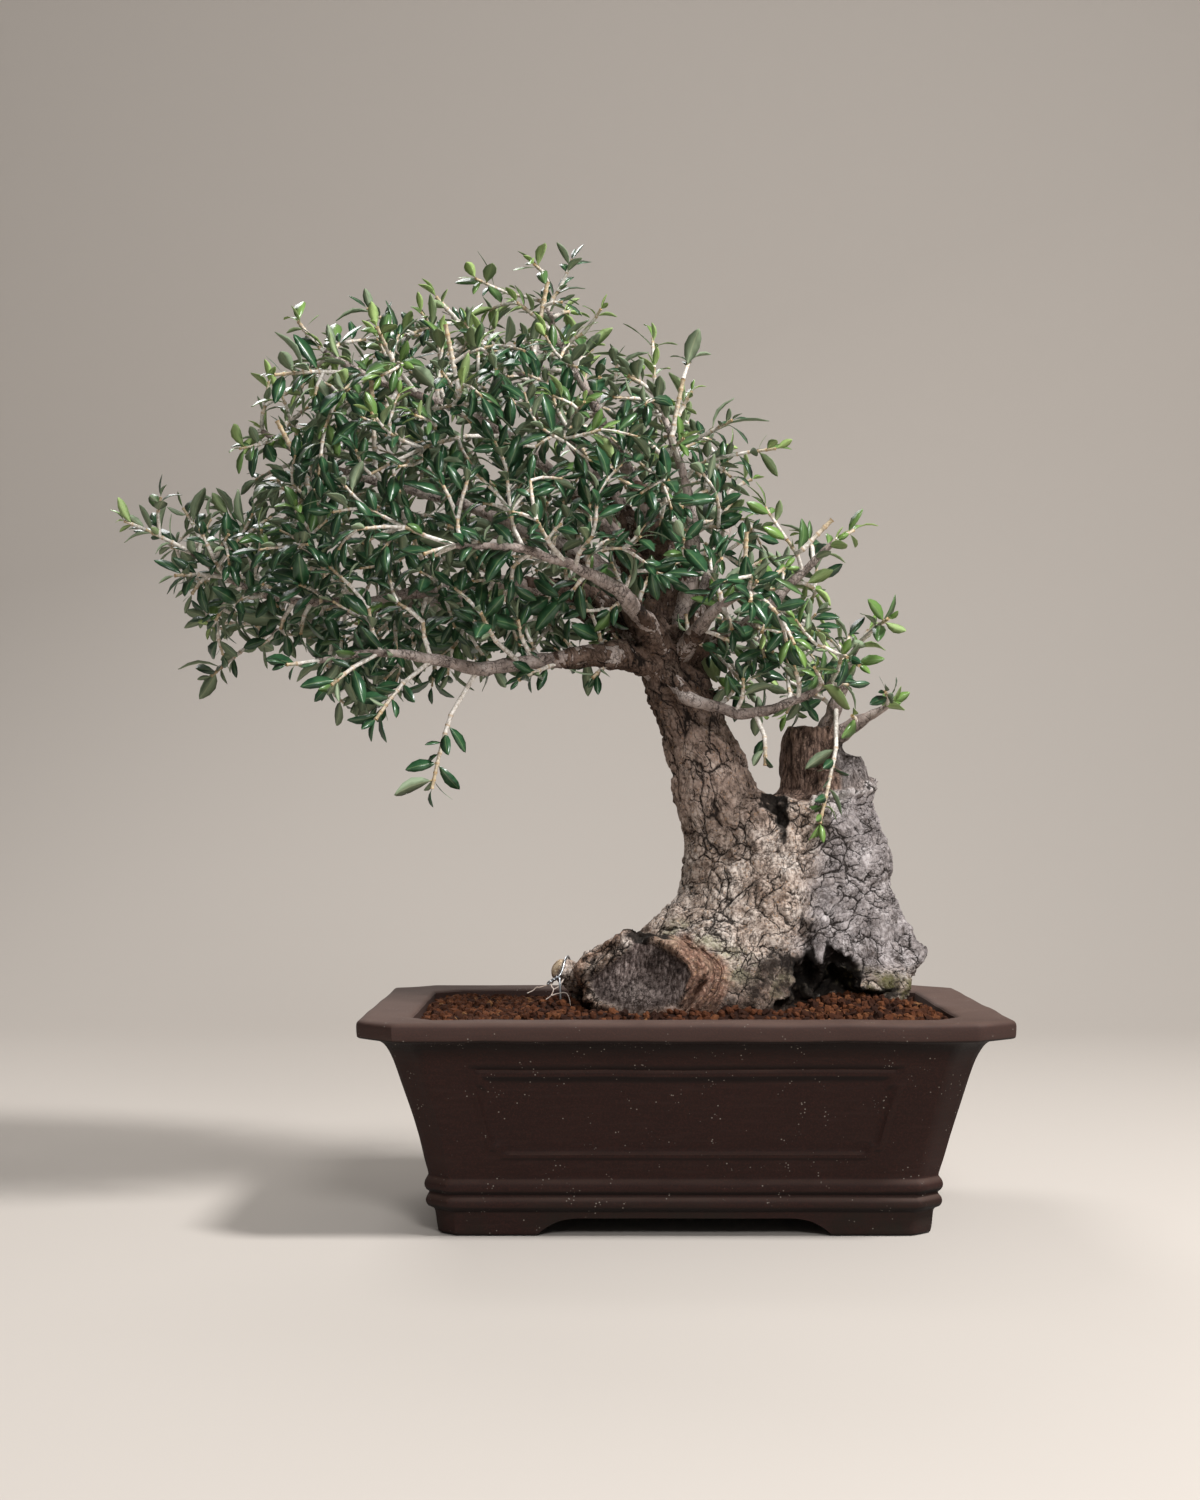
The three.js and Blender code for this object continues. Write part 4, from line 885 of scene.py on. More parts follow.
def bark_material():
    """Wild olive bark and weathered wood: chalky, pale grey to tan plates over dark cracks, brown where it
    heals, silver-grey where the wood is bare; dry, so nearly without gloss. Shade is painted into its
    cracks, creases, hollows and foot, and on the trunk under the crown."""
    material, tree, place = surface("olive_bark")
    plates = add(tree, "ShaderNodeAttribute", attribute_name="plates").outputs["Vector"]
    # wrinkles run with the plates, about 2 mm apart; fibres of bare wood run upwards, 1 mm apart
    drawn_out = add(tree, "ShaderNodeMapping", {"Vector": plates, "Scale": (3.2, 3.2, 0.85)})
    upright = add(tree, "ShaderNodeMapping", {"Vector": place, "Scale": (620, 620, 190)})
    patterns = lay_patterns(tree, place, {
        "broad": (48, 5, 0.65), "fine": (430, 6, 0.7), "wrinkle": (1, 5, 0.65, drawn_out),
        "fibres": (1, 4, 0.6, upright), "crossing": (110, 3, 0.65), "healed": (300, 5, 0.65),
        "rolling": (160, 5, 0.65), "flecks": (560, 3, 0.65), "patch": (75, 4, 0.65),
        "dim": (60, 4, 0.65), "wet": (85, 5, 0.65),
    }, (
        "stump", "trunk", "callus", "rings", "lichen", "lip", "opened", "flaky", "moss", "pale_cut",
        "sawn", "fresh", "dead", "grey_dead", "upper", "rim", "damp", "crease", "shade", "low",
    ))
    # cracks between the plates, and finer ones that cross them
    near, bent = plate_cracks(tree, plates, patterns["opened"])
    fine_gap = add(tree, "ShaderNodeTexVoronoi", {"Vector": bent, "Scale": 3.1}, feature="DISTANCE_TO_EDGE")
    own = add(tree, "ShaderNodeTexVoronoi", {"Vector": bent, "Scale": 1.15}).outputs["Color"]
    patterns |= {"near": near, "fine_gap": fine_gap, "own": own}
    patterns["crack"] = measure(tree, patterns, ("near", 0.1, 0.75, 0, 1))
    patterns["small"] = measure(
        tree, patterns, ("fine_gap", 0.02, 0.1, 1, 0), ("crossing", 0.42, 0.56, 0, 0.9))
    # healing wood grows in fine rolls round the cut, about 2 mm apart
    turned = add(tree, "ShaderNodeMath", {
        0: patterns["rings"], 1: 2.7, 2: measure(tree, patterns, "rolling", 16.0),
    }, operation="MULTIPLY_ADD")
    healing = add(tree, "ShaderNodeMath", {
        0: patterns["callus"], 1: measure(tree, patterns, "lichen", 0.6),
    }, operation="MAXIMUM")
    wave = add(tree, "ShaderNodeMath", {0: turned}, operation="SINE")
    patterns["rolls"] = measure(tree, patterns, wave, healing)
    # the sawn face is grey, darker in broad clouds
    weathered = paint(tree, patterns, [
        (("fibres", (0.36, "443834"), (0.5, "796a65"), (0.66, "b0a19b")),),
        ("5a4c4a", "MULTIPLY", ("dim", 0.45, 0.62, 0, 0.7)),
        ("b9aaa3", "pale_cut", ("fine", 0.4, 0.6, 0, 0.7)),
        ("4d4544", "MULTIPLY", ("fine", 0.4, 0.52, 0.7, 0)),
    ])
    colour = paint(tree, patterns, [
        (("broad", (0.32, "8c786b"), (0.48, "c3b1a4"), (0.66, "ede1d7")),),
        (("broad", (0.32, "7a7271"), (0.5, "a09897"), (0.7, "c6bebd")), "stump"),
        (("broad", (0.32, "7a665a"), (0.52, "b9a295"), (0.7, "decbbf")), "trunk"),
        (("healed", (0.36, "684b3d"), (0.52, "9c7867"), (0.68, "c4a591")), "callus"),
        ("6b4a3b", "MULTIPLY", ("rolls", 0.1, 0.9, 0, 0.4)),
        (("fine", (0.35, "7a5c4b"), (0.6, "b39582")), "lip"),
        # each plate has its own shade, and flaking speckles it at about 2 mm
        ("8a7a6c", "MULTIPLY", ("own", 0.2, 0.8, 0, 0.35), "opened"),
        ("57473b", "MULTIPLY", ("fine", 0.4, 0.52, 0.75, 0), ("flaky", 0, 1, 0.25, 1)),
        ("efe6da", ("fine", 0.56, 0.66, 0, 0.28), "flaky"),
        ("6d5a4d", "MULTIPLY", ("wrinkle", 0.36, 0.5, 0.4, 0)),
        ("b98f68", ("flecks", 0.6, 0.66, 0, 0.6), ("stump", 0.2, 0.9, 1, 0.1)),
        # grey-green lichen and moss, thin and patchy
        ("a3a384", "lichen", ("patch", 0.42, 0.6, 0, 0.6)),
        ("4c4b1e", "moss", ("patch", 0.35, 0.55, 0, 0.85)),
        (weathered, "sawn"),
        (("fine", (0.36, "8f7357"), (0.52, "d2b999"), (0.7, "e9dac3")), "fresh"),
        (("fibres", (0.38, "473730"), (0.6, "917769")), "dead"),
        (("fibres", (0.38, "4c4543"), (0.6, "8d8481")), "grey_dead"),
        # the trunk below the crown is painted darker: painted shadow of the crown
        ("83776f", "MULTIPLY", "upper", 0.85),
        (("fine", (0.38, "a59b97"), (0.56, "ded6d2")), "rim", 0.6),
        # cracks are near-black, partly dark inner bark and partly painted shade; creases, the hollows' walls
        # and the wood low by the granules are painted dark as painted shade
        # the foot left of the big hollow is painted browner, with near-black patches of painted shadow
        ("735949", "MULTIPLY", "damp", 0.6),
        ("1f1713", "damp", ("wet", 0.44, 0.58, 0, 0.9)),
        ("2c211a", "small", 0.78),
        ("1c1511", "crack", 0.96),
        ("2a1f19", ("crease", 0.1, 0.8, 0, 0.9)),
        ("17120e", ("shade", 0.1, 1, 0, 0.95)),
        ("3a2b22", "low", ("patch", 0.35, 0.6, 0.15, 0.85)),
    ])
    bare = add(tree, "ShaderNodeMath", {0: patterns["sawn"], 1: patterns["dead"]})
    height = 0.0
    for parts in (
        ("wrinkle", 0.6), ("fine", ("flaky", 0, 1, 0.5, 1.2)), ("fibres", bare),
        ("crack", -1.0), ("small", -0.45), ("rolls", -0.3),
    ):
        height = add(tree, "ShaderNodeMath", {0: height, 1: measure(tree, patterns, *parts)})
    finish(tree, {"Base Color": colour, "Roughness": 0.92, "Specular IOR Level": 0.25}, height, 0.9, 0.9)
    return material


def mark_wood(mesh, points, region, crease, opened, plain):
    """Store what the bark's relief and its colours read."""
    marks = {**region, "crease": crease, "opened": opened, "plain": plain}
    for name, values in {**marks, "plates": bark_places(points, region)}.items():
        store(mesh, name, values)


def end_flat(mesh, height):
    """Cut a closed mesh off flat below a height and close it again."""
    shape = bmesh.new()
    shape.from_mesh(mesh)
    level = Vector((0, 0, height * MM + ORIGIN[2]))
    bmesh.ops.bisect_plane(shape, geom=shape.verts[:] + shape.edges[:] + shape.faces[:],
                           plane_co=level, plane_no=(0, 0, 1), clear_inner=True)
    bmesh.ops.edgeloop_fill(shape, edges=[edge for edge in shape.edges if edge.is_boundary])
    bmesh.ops.recalc_face_normals(shape, faces=shape.faces)
    shape.to_mesh(mesh)
    shape.free()


def wood_core(grain):
    """Base, trunk, stump, snag, roots and limb feet as one skin, with the hollows cut out."""
    parts = [
        column(ROOT_BASE, 72, 0.02, ROOT_BUMPS), column(LEANING_TRUNK, 40, 0.035),
        column(OLD_STUMP, 40, 0.04), column(DEAD_SNAG, 32, 0.05), column(SNAG_SHOULDER, 24, 0.05),
        sawn_root(), tube(along(CUT_ROOT, 4), np.linspace(12, 5.6, 9), 16),
    ]
    for name in LIMBS:
        line, radii = limb_line(name, CARVED_SHARE)
        tapered = radii * np.concatenate([np.full(len(radii) - 3, 1.06), [1.0, 0.85, 0.6]])
        parts.append(tube(line, tapered, 14))
    core = mesh_object("core", *join_parts(parts))
    stub_radii = np.interp(np.arange(9), (0, 4, 8), BARK_STUB[1])
    stub = mesh_object("stub", *tube(along(BARK_STUB[0], 4), stub_radii, 12))
    hollows = [rotted_hollow(*hollow) for hollow in HOLLOWS]

    def one_skin():
        step = core.modifiers.new("one skin", "REMESH")
        step.mode, step.voxel_size = "VOXEL", grain

    one_skin()
    for tool in (*hollows, stub):
        step = core.modifiers.new("carve", "BOOLEAN")
        step.object, step.solver = tool, "MANIFOLD"
        step.operation = "UNION" if tool is stub else "DIFFERENCE"
    one_skin()
    mesh = bake(core)
    discard(stub, *hollows)
    end_flat(mesh, BURIED)
    return core


def thin_limbs():
    """The limbs' round skins, knobbly and a little bent."""
    skins = []
    for name in LIMBS:
        line, radii = limb_line(name, 1.0, 7)
        spots = list(zip(line.tolist(), radii))
        wander = [noise.noise_vector(Vector(p) / 17) * min(2.2, r * 0.5) for p, r in spots]
        knobby = radii * [1 + 0.2 * noise.noise(Vector(p) / 6) for p in line.tolist()]
        skins.append(tube(line + np.array(wander), knobby, 12))
    return mesh_object("limbs", *join_parts(skins))


class BONSAI_OT_wood(bpy.types.Operator):
    """Carve the trunk, the old stump, the sawn root and the limbs in bark"""
    bl_idname = "bonsai.wood"
    bl_label = "Wood"

    def execute(self, context):
        settings = context.scene.bonsai_wood
        wood = wood_core(settings.grain * (1))
        wood.name = "olive_wood"
        points = positions(wood.data)
        region = wood_regions(points)
        lift, crease, opened, plain = carve(points, region)
        mark_wood(wood.data, points, region, crease, opened, plain)
        store(wood.data, "lift", lift * settings.relief * MM)
        limbs = thin_limbs()
        points = positions(limbs.data)
        region = {name: np.zeros(len(points)) for name in region}
        region["trunk"] += 0.3
        region["stump"] += 0.7
        bare = np.zeros(len(points))
        mark_wood(limbs.data, points, region, bare, bare + 0.12, bare)
        run_tree(wood, relief_tree(), {
            "Limbs": limbs, "Plate height": 1.9 * settings.relief * MM, "Finish": bark_material(),
        })
        wood.data.shade_smooth()
        discard(limbs)
        dress(wood, "trunk", slot="bark")
        return {"FINISHED"}


# ------------------------------------------------------------------------------ the tie wire
WIRE_TWIST = [(-75, -41, 147.8), (-78, -42.3, 146.2), (-81.5, -43, 144)]
WIRE_ENDS = [
    [(-68, -8, 118), (-67.5, -12, 134), (-67.5, -17, 149), (-69, -26, 159), (-71, -34, 157.5),
        (-73, -39, 151)],
    [(-73.2, -44, 118), (-73.4, -44, 130), (-73.8, -43.5, 140), (-74.2, -42.4, 145.5)],
]
# Fine roots that lie bare on the granules.
FINE_ROOTS = [
    [(-77, -34, 147), (-80, -38, 143.5), (-86, -41, 141.6), (-88.3, -41, 141.5), (-90.5, -41.5, 139.6),
        (-94, -42, 138)],
    [(-77, -36, 147), (-79.2, -42.5, 142.8), (-77.9, -44, 140.4), (-79.5, -45, 136.8), (-82.6, -46, 134.5)],
    [(-72, -36, 146), (-74.6, -42.5, 142.4), (-77.9, -44, 140.4)],
    [(-79.5, -45, 136.8), (-74.6, -44.5, 138.2), (-70.4, -44, 138.4), (-68.4, -45, 135.5),
        (-67.5, -46, 130)],
]


class BONSAI_OT_tie_wire(bpy.types.Operator):
    """Twist the wire that ties down a small cut root"""
    bl_idname = "bonsai.tie_wire"
    bl_label = "Tie wire"

    def execute(self, context):
        # Drawn soft aluminium wire: bright, brushed along its length by drawing.
        material, tree, place = surface("drawn_aluminium_wire")
        patterns = lay_patterns(tree, place, {"drawn": (1500, 2, 0.5)})
        finish(tree, {
            "Base Color": linear("b9bbbe"), "Metallic": 1,
            "Roughness": measure(tree, patterns, ("drawn", 0, 1, 0.22, 0.42)),
        }, patterns["drawn"], 0.2, 0.05)
        strands = []
        for end, side in zip(WIRE_ENDS, (1, -1)):
            free = len(end) * 6
            line = along(end + WIRE_TWIST, 6)
            places = np.arange(len(line), dtype=float)
            # the two ends are twisted round one another at the front
            lay = 0.75 * side * fade(places, free, free - 6)
            turns = (places - free) * 0.9
            helix = np.stack([0.5 * np.cos(turns), np.sin(turns), np.cos(turns)], axis=1) * lay[:, None]
            strands.append(tube(line + helix, [0.7] * len(line), 10))
        wire = mesh_object("tie_wire_strands", *join_parts(strands), material)
        dress(wire, "tie_wire", slot="wire")
        roots = [tube(along(root, 6), np.linspace(0.42, 0.26, len(root) * 6 - 5), 6) for root in FINE_ROOTS]
        bark = bpy.data.materials["olive_bark"]
        dress(mesh_object("fine_roots", *join_parts(roots), bark), slot="bark")
        return {"FINISHED"}


# ------------------------------------------------------------------------------ the granules
SOIL_LEVEL = 122
SOIL_INSET, SOIL_CORNER = 31.6, 14  # from the rim's edge to the bed's edge, and its corners' cut
BED_BELOW = 1.6  # how far the plain bed lies under the granules' surface
# x, y, height, spread.
HEAPS = [
    (104, -42, 10, 34), (96, -10, 6, 50), (-60, -20, 6, 40), (30, -70, 3, 60), (40, 60, 5, 60),
    (-118, 36, 4.5, 70), (142, -46, 5, 26), (-77, -42, 8, 17),
    (-84, -94, 9, 26), (-44, -105, 10.5, 20), (-8, -107, 10.5, 20), (26, -107, 10, 20), (58, -104, 9, 22),
    (112, -98, 6, 30),
]


def soil_height(x, y):
    """The lie of the granules' surface."""
    heaped = sum(h * math.exp(-((x - hx) ** 2 + (y - hy) ** 2) / s ** 2) for hx, hy, h, s in HEAPS)
    # heaps run down to the level at the pot's wall
    to_wall = min(POT_SIZE.x / 2 - abs(x), POT_SIZE.y / 2 - abs(y)) - SOIL_INSET
    heaped *= min(1, 0.42 + 0.58 * max(0, to_wall) / 9)
    return SOIL_LEVEL + heaped + 1.2 * noise.noise(Vector((x / 16, y / 16, 3)))


def soil_bed():
    """The filled pot up to the granules' surface, as a grid inside its walls."""
    half_x, half_y = POT_SIZE.x / 2 - SOIL_INSET, POT_SIZE.y / 2 - SOIL_INSET
    columns, rows = 72, 48
    grid = []
    for j in range(rows + 1):
        for i in range(columns + 1):
            x, y = half_x * (2 * i / columns - 1), half_y * (2 * j / rows - 1)
            over = abs(x) + abs(y) - (half_x + half_y - SOIL_CORNER)
            if over > 0:
                x -= math.copysign(over / 2, x)
                y -= math.copysign(over / 2, y)
            grid.append((x, y, soil_height(x, y) - BED_BELOW))
    starts = [j * (columns + 1) + i for j in range(rows) for i in range(columns)]
    return grid, [[a, a + 1, a + columns + 2, a + columns + 1] for a in starts]


def granule_shapes():
    """Three broken lumps of clay, one unit across."""
    lumps = []
    for number in range(3):
        shape = bmesh.new()
        bmesh.ops.create_cube(shape, size=1)
        bmesh.ops.subdivide_edges(shape, edges=shape.edges, cuts=1, use_grid_fill=True)
        for corner in shape.verts:
            way = corner.co.normalized()
            lump = 0.5 + 0.33 * noise.noise(way * 3.1 + Vector((number * 9, 0, 0)))
            corner.co = way * lump * (0.7 + 0.42 * corner.co.length)
        mesh = bpy.data.meshes.new("granule")
        shape.to_mesh(mesh)
        shape.free()
        lumps.append(place_object("granule", mesh))
    return lumps


def granule_tree():
    """Scatters the lumps over a bed: Poisson places, any turn, sizes between two limits."""
    lumps = {f"Lump {number}": "Object" for number in (1, 2, 3)}
    tree, given = geometry_tree("Scattered granules", {
        "Bed": "Geometry", **lumps, "Spacing": "Float", "Smallest": "Float", "Largest": "Float",
        "Seed": "Int", "Finish": "Material",
    }, "Granules")
    found = []
    for name in reversed(lumps):
        lump = add(tree, "GeometryNodeObjectInfo", {"Object": given[name], "As Instance": True})
        found.append(lump.outputs["Geometry"])
    places = add(tree, "GeometryNodeDistributePointsOnFaces", {
        "Mesh": given["Bed"], "Distance Min": given["Spacing"], "Density Max": 400000.0,
        "Seed": given["Seed"],
        "Density Factor": add(tree, "GeometryNodeInputNamedAttribute", {"Name": "open"}, data_type="FLOAT"),
    }, distribute_method="POISSON")
    draws = {}
    for seed, (name, kind, first, low, high) in enumerate((
        ("turn", "FLOAT_VECTOR", 0, (0, 0, 0), (6.283, 6.283, 6.283)),
        ("size", "FLOAT", 2, given["Smallest"], given["Largest"]),
        ("jitter", "FLOAT_VECTOR", 0, (-0.0006, -0.0006, -0.0008), (0.0006, 0.0006, 0.0014)),
        ("shape", "FLOAT_VECTOR", 0, (0.68, 0.68, 0.68), (1.18, 1.18, 1.18)),
        ("pick", "INT", 4, 0, 2),
        ("shade", "FLOAT", 2, 0.0, 1.0),
    ), start=1):
        draws[name] = add(tree, "FunctionNodeRandomValue", {
            first: low, first + 1: high, "Seed": seed,
        }, data_type=kind)
    lifted = add(tree, "GeometryNodeSetPosition", {
        "Geometry": places.outputs["Points"], "Offset": draws["jitter"],
    })
    scale = add(tree, "ShaderNodeVectorMath", {0: draws["shape"], "Scale": draws["size"]}, operation="SCALE")
    scattered = add(tree, "GeometryNodeInstanceOnPoints", {
        "Points": lifted, "Instance": add(tree, "GeometryNodeJoinGeometry", {"Geometry": found}),
        "Pick Instance": True, "Instance Index": draws["pick"], "Rotation": draws["turn"], "Scale": scale,
    })
    tinted = add(tree, "GeometryNodeStoreNamedAttribute", {
        "Geometry": scattered, "Name": "shade", "Value": draws["shade"],
    }, data_type="FLOAT", domain="INSTANCE")
    solid = add(tree, "GeometryNodeRealizeInstances", {"Geometry": tinted})
    both = add(tree, "GeometryNodeJoinGeometry", {"Geometry": [solid, given["Bed"]]})
    dressed = add(tree, "GeometryNodeSetMaterial", {"Geometry": both, "Material": given["Finish"]})
    add(tree, "NodeGroupOutput", {"Granules": dressed})
    return tree


def run_tree(made, tree, values):
    """Put a Geometry Nodes tree on an object, fill its inputs by identifier, and bake it."""
    step = made.modifiers.new("nodes", "NODES")
    step.node_group = tree
    for item in tree.interface.items_tree:
        if item.item_type == "SOCKET" and item.in_out == "INPUT" and item.name in values:
            step[item.identifier] = values[item.name]
    return bake(made)


def granule_material():
    """Low-fired volcanic clay, broken and sieved: dusty, red-brown, each lump its own shade."""
    material, tree, place = surface("fired_clay_granules")
    patterns = lay_patterns(tree, place, {"fine": (650, 5, 0.7)}, ["shade"])
    colour = paint(tree, patterns, [
        (("shade", (0, "26140c"), (0.35, "432515"), (0.75, "5c341e"), (0.96, "70452a"), (1, "86603c")),),
        ("2b1710", ("fine", 0.35, 0.6, 0.5, 0)),
    ])
    inputs = {"Base Color": colour, "Roughness": 0.95, "Specular IOR Level": 0.2}
    finish(tree, inputs, patterns["fine"], 0.8, 0.5)
    return material


class BONSAI_OT_granules(bpy.types.Operator):
    """Fill the pot with clay granules"""
    bl_idname = "bonsai.granules"
    bl_label = "Granules"

    def execute(self, context):
        settings = context.scene.bonsai_soil
        soil = mesh_object("clay_granules", *soil_bed())
        x, y, _ = positions(soil.data).T
        under_wood = np.hypot((x - 39) / 88, (y + 5) / 53) < 1
        in_the_hollow = np.hypot((x - 92) / 42, (y + 56) / 34) < 1
        store(soil.data, "open", ~under_wood | in_the_hollow)
        lumps = granule_shapes()
        values = {
            "Lump 1": lumps[0], "Lump 2": lumps[1], "Lump 3": lumps[2], "Spacing": settings.spacing,
            "Smallest": settings.smallest, "Largest": settings.largest, "Seed": settings.seed,
            "Finish": granule_material(),
        }
        run_tree(soil, granule_tree(), values)
        discard(*lumps)
        dress(soil, "soil", slot="granules")
        return {"FINISHED"}


# ------------------------------------------------------------------------------ the crown
# Each leafy spray: limb it grows from, share of the way along it, tip of its last leaf.
SPRAYS = [
    ("long_left", 1.0, (-345, -15, 430)), ("long_left", 0.9, (-322, -45, 392)),
    ("long_left", 0.78, (-281, 12, 440)), ("long_left", 0.6, (-228, -62, 412)),
    ("long_left", 0.42, (-170, -52, 430)), ("low_back", 1.0, (-318, 70, 328)),
    ("low_back", 0.88, (-328, 104, 376)), ("low_back", 0.66, (-253, 116, 412)),
    ("low_back", 0.34, (-138, 100, 416)), ("low_front", 1.0, (-246, -106, 332)),
    ("low_front", 0.82, (-216, -112, 314)), ("low_front", 0.66, (-190, -100, 292)),
    ("low_front", 0.5, (-155, -72, 248)), ("low_front", 0.4, (-125, -108, 372)),
    ("low_front", 0.28, (-109, -74, 322)), ("low_front", 0.14, (-64, -46, 322)),
    ("mid_left", 1.0, (-282, 15, 478)), ("mid_left", 0.82, (-288, 52, 457)),
    ("mid_left", 0.64, (-245, 52, 510)), ("mid_left", 0.44, (-180, 72, 488)),
    ("up_left", 1.0, (-232, -46, 540)), ("up_left", 0.86, (-260, -62, 510)),
    ("up_left", 0.7, (-190, -72, 550)), ("up_left", 0.48, (-165, -92, 460)),
    ("up_back", 1.0, (-157, 42, 576)), ("up_back", 0.82, (-190, 72, 566)),
    ("up_back", 0.6, (-157, 104, 522)), ("up_back", 0.42, (-76, 92, 522)),
    ("apex", 1.0, (-68, -14, 584)), ("apex", 0.86, (-112, -32, 570)),
    ("apex", 0.7, (-50, 22, 550)), ("apex", 0.46, (-76, -76, 478)),
    ("up_right", 1.0, (-18, -30, 536)), ("up_right", 0.76, (13, -20, 522)),
    ("up_right", 0.4, (-16, -76, 436)), ("right_up", 1.0, (38, 50, 494)),
    ("right_up", 0.76, (61, 38, 470)), ("right_up", 0.44, (12, 96, 452)),
    ("right", 1.0, (106, -42, 424)), ("right", 0.66, (57, -50, 426)),
    ("right", 0.36, (46, -76, 350)), ("crossing", 1.0, (98, -76, 352)),
    ("crossing", 0.56, (52, -62, 262)), ("stump_up", 1.0, (126, -12, 374)),
    ("stump_up", 0.3, (82, -44, 228)), ("stump_right", 1.0, (142, -22, 322)),
    ("back", 1.0, (-184, 126, 440)), ("back", 0.56, (-104, 132, 478)),
    ("front", 1.0, (-164, -126, 392)), ("front", 0.56, (-92, -132, 424)),
    ("back_right", 1.0, (84, 90, 406)), ("front_right", 1.0, (50, -100, 392)),
    ("long_left", 0.5, (-192, 30, 418)), ("mid_left", 0.5, (-172, -22, 404)),
]
LEAF_REACH = 15
HANGING = {12: 0.7, 42: 0.8, 44: 0.85}  # sprays that hang free keep this share of their leaves
# The crown seen from the front, to the tips of its twigs: x, z.
CROWN_OUTLINE = [
    (-334, 430), (-316, 444), (-275, 456), (-266, 490), (-258, 520), (-232, 546), (-188, 560),
    (-150, 568), (-100, 570), (-66, 580), (-46, 548), (-18, 534), (12, 520), (30, 488), (44, 462),
    (48, 436), (96, 418), (94, 386), (118, 366), (132, 320), (118, 304), (78, 296), (36, 298),
    (8, 322), (-24, 346), (-62, 334), (-118, 328), (-140, 322), (-198, 306), (-230, 322),
    (-256, 344), (-300, 332), (-308, 368), (-318, 400),
]
CROWN_HALF_DEPTH = 122  # front to back, where the crown is deeper than it is wide
CROWN_ROUNDING = 90
CROWN_LUMPS = 15  # how far its surface bulges and sinks
CROWN_MIDDLE = [(-340, 20), (-200, 4), (0, 0), (60, -24), (140, -20)]  # x, and y of its middle there
TIP_SPACING = 18.5
LEAFY_DEPTH = 60  # twig tips lie no deeper in the crown than this
TWIG_REACH = (12, 78)
TWIG_RADII = [(1.6, 1.0), (1.35, 0.8), (1.1, 0.7), (0.9, 0.6)]  # foot and tip, by order
CUT_TWIG_RADII = (1.6, 1.3)
# Bare twigs that were cut off: foot and top.
CUT_TWIGS = [
    ((-94, -20, 515), (-82, -24, 575)), ((-76, -92, 388), (-74, -98, 462)), ((-9, -36, 463), (1, -40, 512)),
    ((-184, -62, 452), (-186, -68, 506)), ((-133, -60, 494), (-142, -66, 540)),
    ((36, -62, 366), (38, -66, 416)), ((70, -58, 404), (90, -60, 424)), ((-228, -40, 452), (-246, -44, 486)),
]
# Twig tips that stand out of the crown.
STRAY_TIPS = [
    (-67, -10, 592), (-236, -20, 551), (-259, 10, 520), (-271, -30, 471), (-197, 10, 566), (-127, -15, 579),
    (-49, -30, 557), (-17, -10, 543), (6, -30, 527), (57, -50, 468), (31, -40, 487), (106, -30, 421),
    (51, -40, 434), (-321, -20, 443), (126, -40, 366), (-344, -20, 428), (-155, 30, 578), (-90, -40, 582),
]
# Along a leaf: share of its length, half width over half its length.
LEAF_OUTLINE = [
    (0, 0.03), (0.1, 0.05), (0.27, 0.25), (0.52, 0.37), (0.76, 0.31), (0.93, 0.14), (1, 0.015),
]
LEAF_THICK = 0.012
LEAF_LIMITS = (7, 31)
DEAD_AGE = 2  # an age past 1.6 turns a leaf brown
CROWN_HEART = ((-230, 15, 400), (20, -10, 415))  # leaves turn their upper sides away from this line


def leaf_shape():
    """A closed, folded and arched blade one unit long, marked for its sides and its midrib."""
    corners, faces = [], []
    for share, wide in LEAF_OUTLINE:
        arch = 0.1 * math.sin(math.pi * min(1, share * 1.05)) - 0.05 * share ** 3
        half = wide / 2
        lift = arch + 0.2 * half
        corners += [(share, -half, lift), (share, 0, arch + LEAF_THICK)]
        corners += [(share, half, lift), (share, 0, arch - LEAF_THICK)]
    last = (len(LEAF_OUTLINE) - 1) * 4
    for near in range(0, last, 4):
        far = near + 4
        faces += [(near + a, far + a, far + b, near + b) for a, b in ((0, 1), (1, 2), (2, 3), (3, 0))]
    faces += [(0, 1, 2, 3), (last + 3, last + 2, last + 1, last)]
    mesh = bpy.data.meshes.new("leaf")
    mesh.from_pydata(corners, [], faces)
    mesh.shade_smooth()
    store(mesh, "under", [k % 4 in (2, 3) for k in range(len(faces))], "FACE")
    store(mesh, "midrib", [corner[1] == 0 for corner in corners])
    store(mesh, "reach", [corner[0] for corner in corners])
    return place_object("leaf", mesh)


def lean_from(axis, lean, turn):
    """A direction that leans off an axis, turned round it."""
    hint = Vector((1, 0, 0)) if abs(axis.z) > 0.9 else Vector((0, 0, 1))
    side = hint.cross(axis).normalized()
    side.rotate(Matrix.Rotation(turn, 3, axis))
    return (axis * math.cos(lean) + side * math.sin(lean)).normalized()


def bent_line(start, way, tip, count):
    """Points of a line that leaves its foot between its parent's way and the way to its tip."""
    start, tip = Vector(start), Vector(tip)
    length = (tip - start).length
    bend = start + (Vector(way) + (tip - start) / length).normalized() * length * 0.27
    shares = [k / count for k in range(count + 1)]
    return [start * (1 - t) ** 2 + bend * 2 * t * (1 - t) + tip * t * t for t in shares]


def margin_inside(points, outline):
    """Distance of each (x, z) from an outline, positive inside it."""
    nearest = np.full(len(points), np.inf)
    inside = np.zeros(len(points), bool)
    for (ax, az), (bx, bz) in zip(outline, outline[1:] + outline[:1]):
        nearest = np.minimum(nearest, near_segment(points, (ax, az), (bx, bz)))
        if az != bz:
            crosses = (az > points[:, 1]) != (bz > points[:, 1])
            inside ^= crosses & (points[:, 0] < ax + (points[:, 1] - az) * (bx - ax) / (bz - az))
    return np.where(inside, nearest, -nearest)


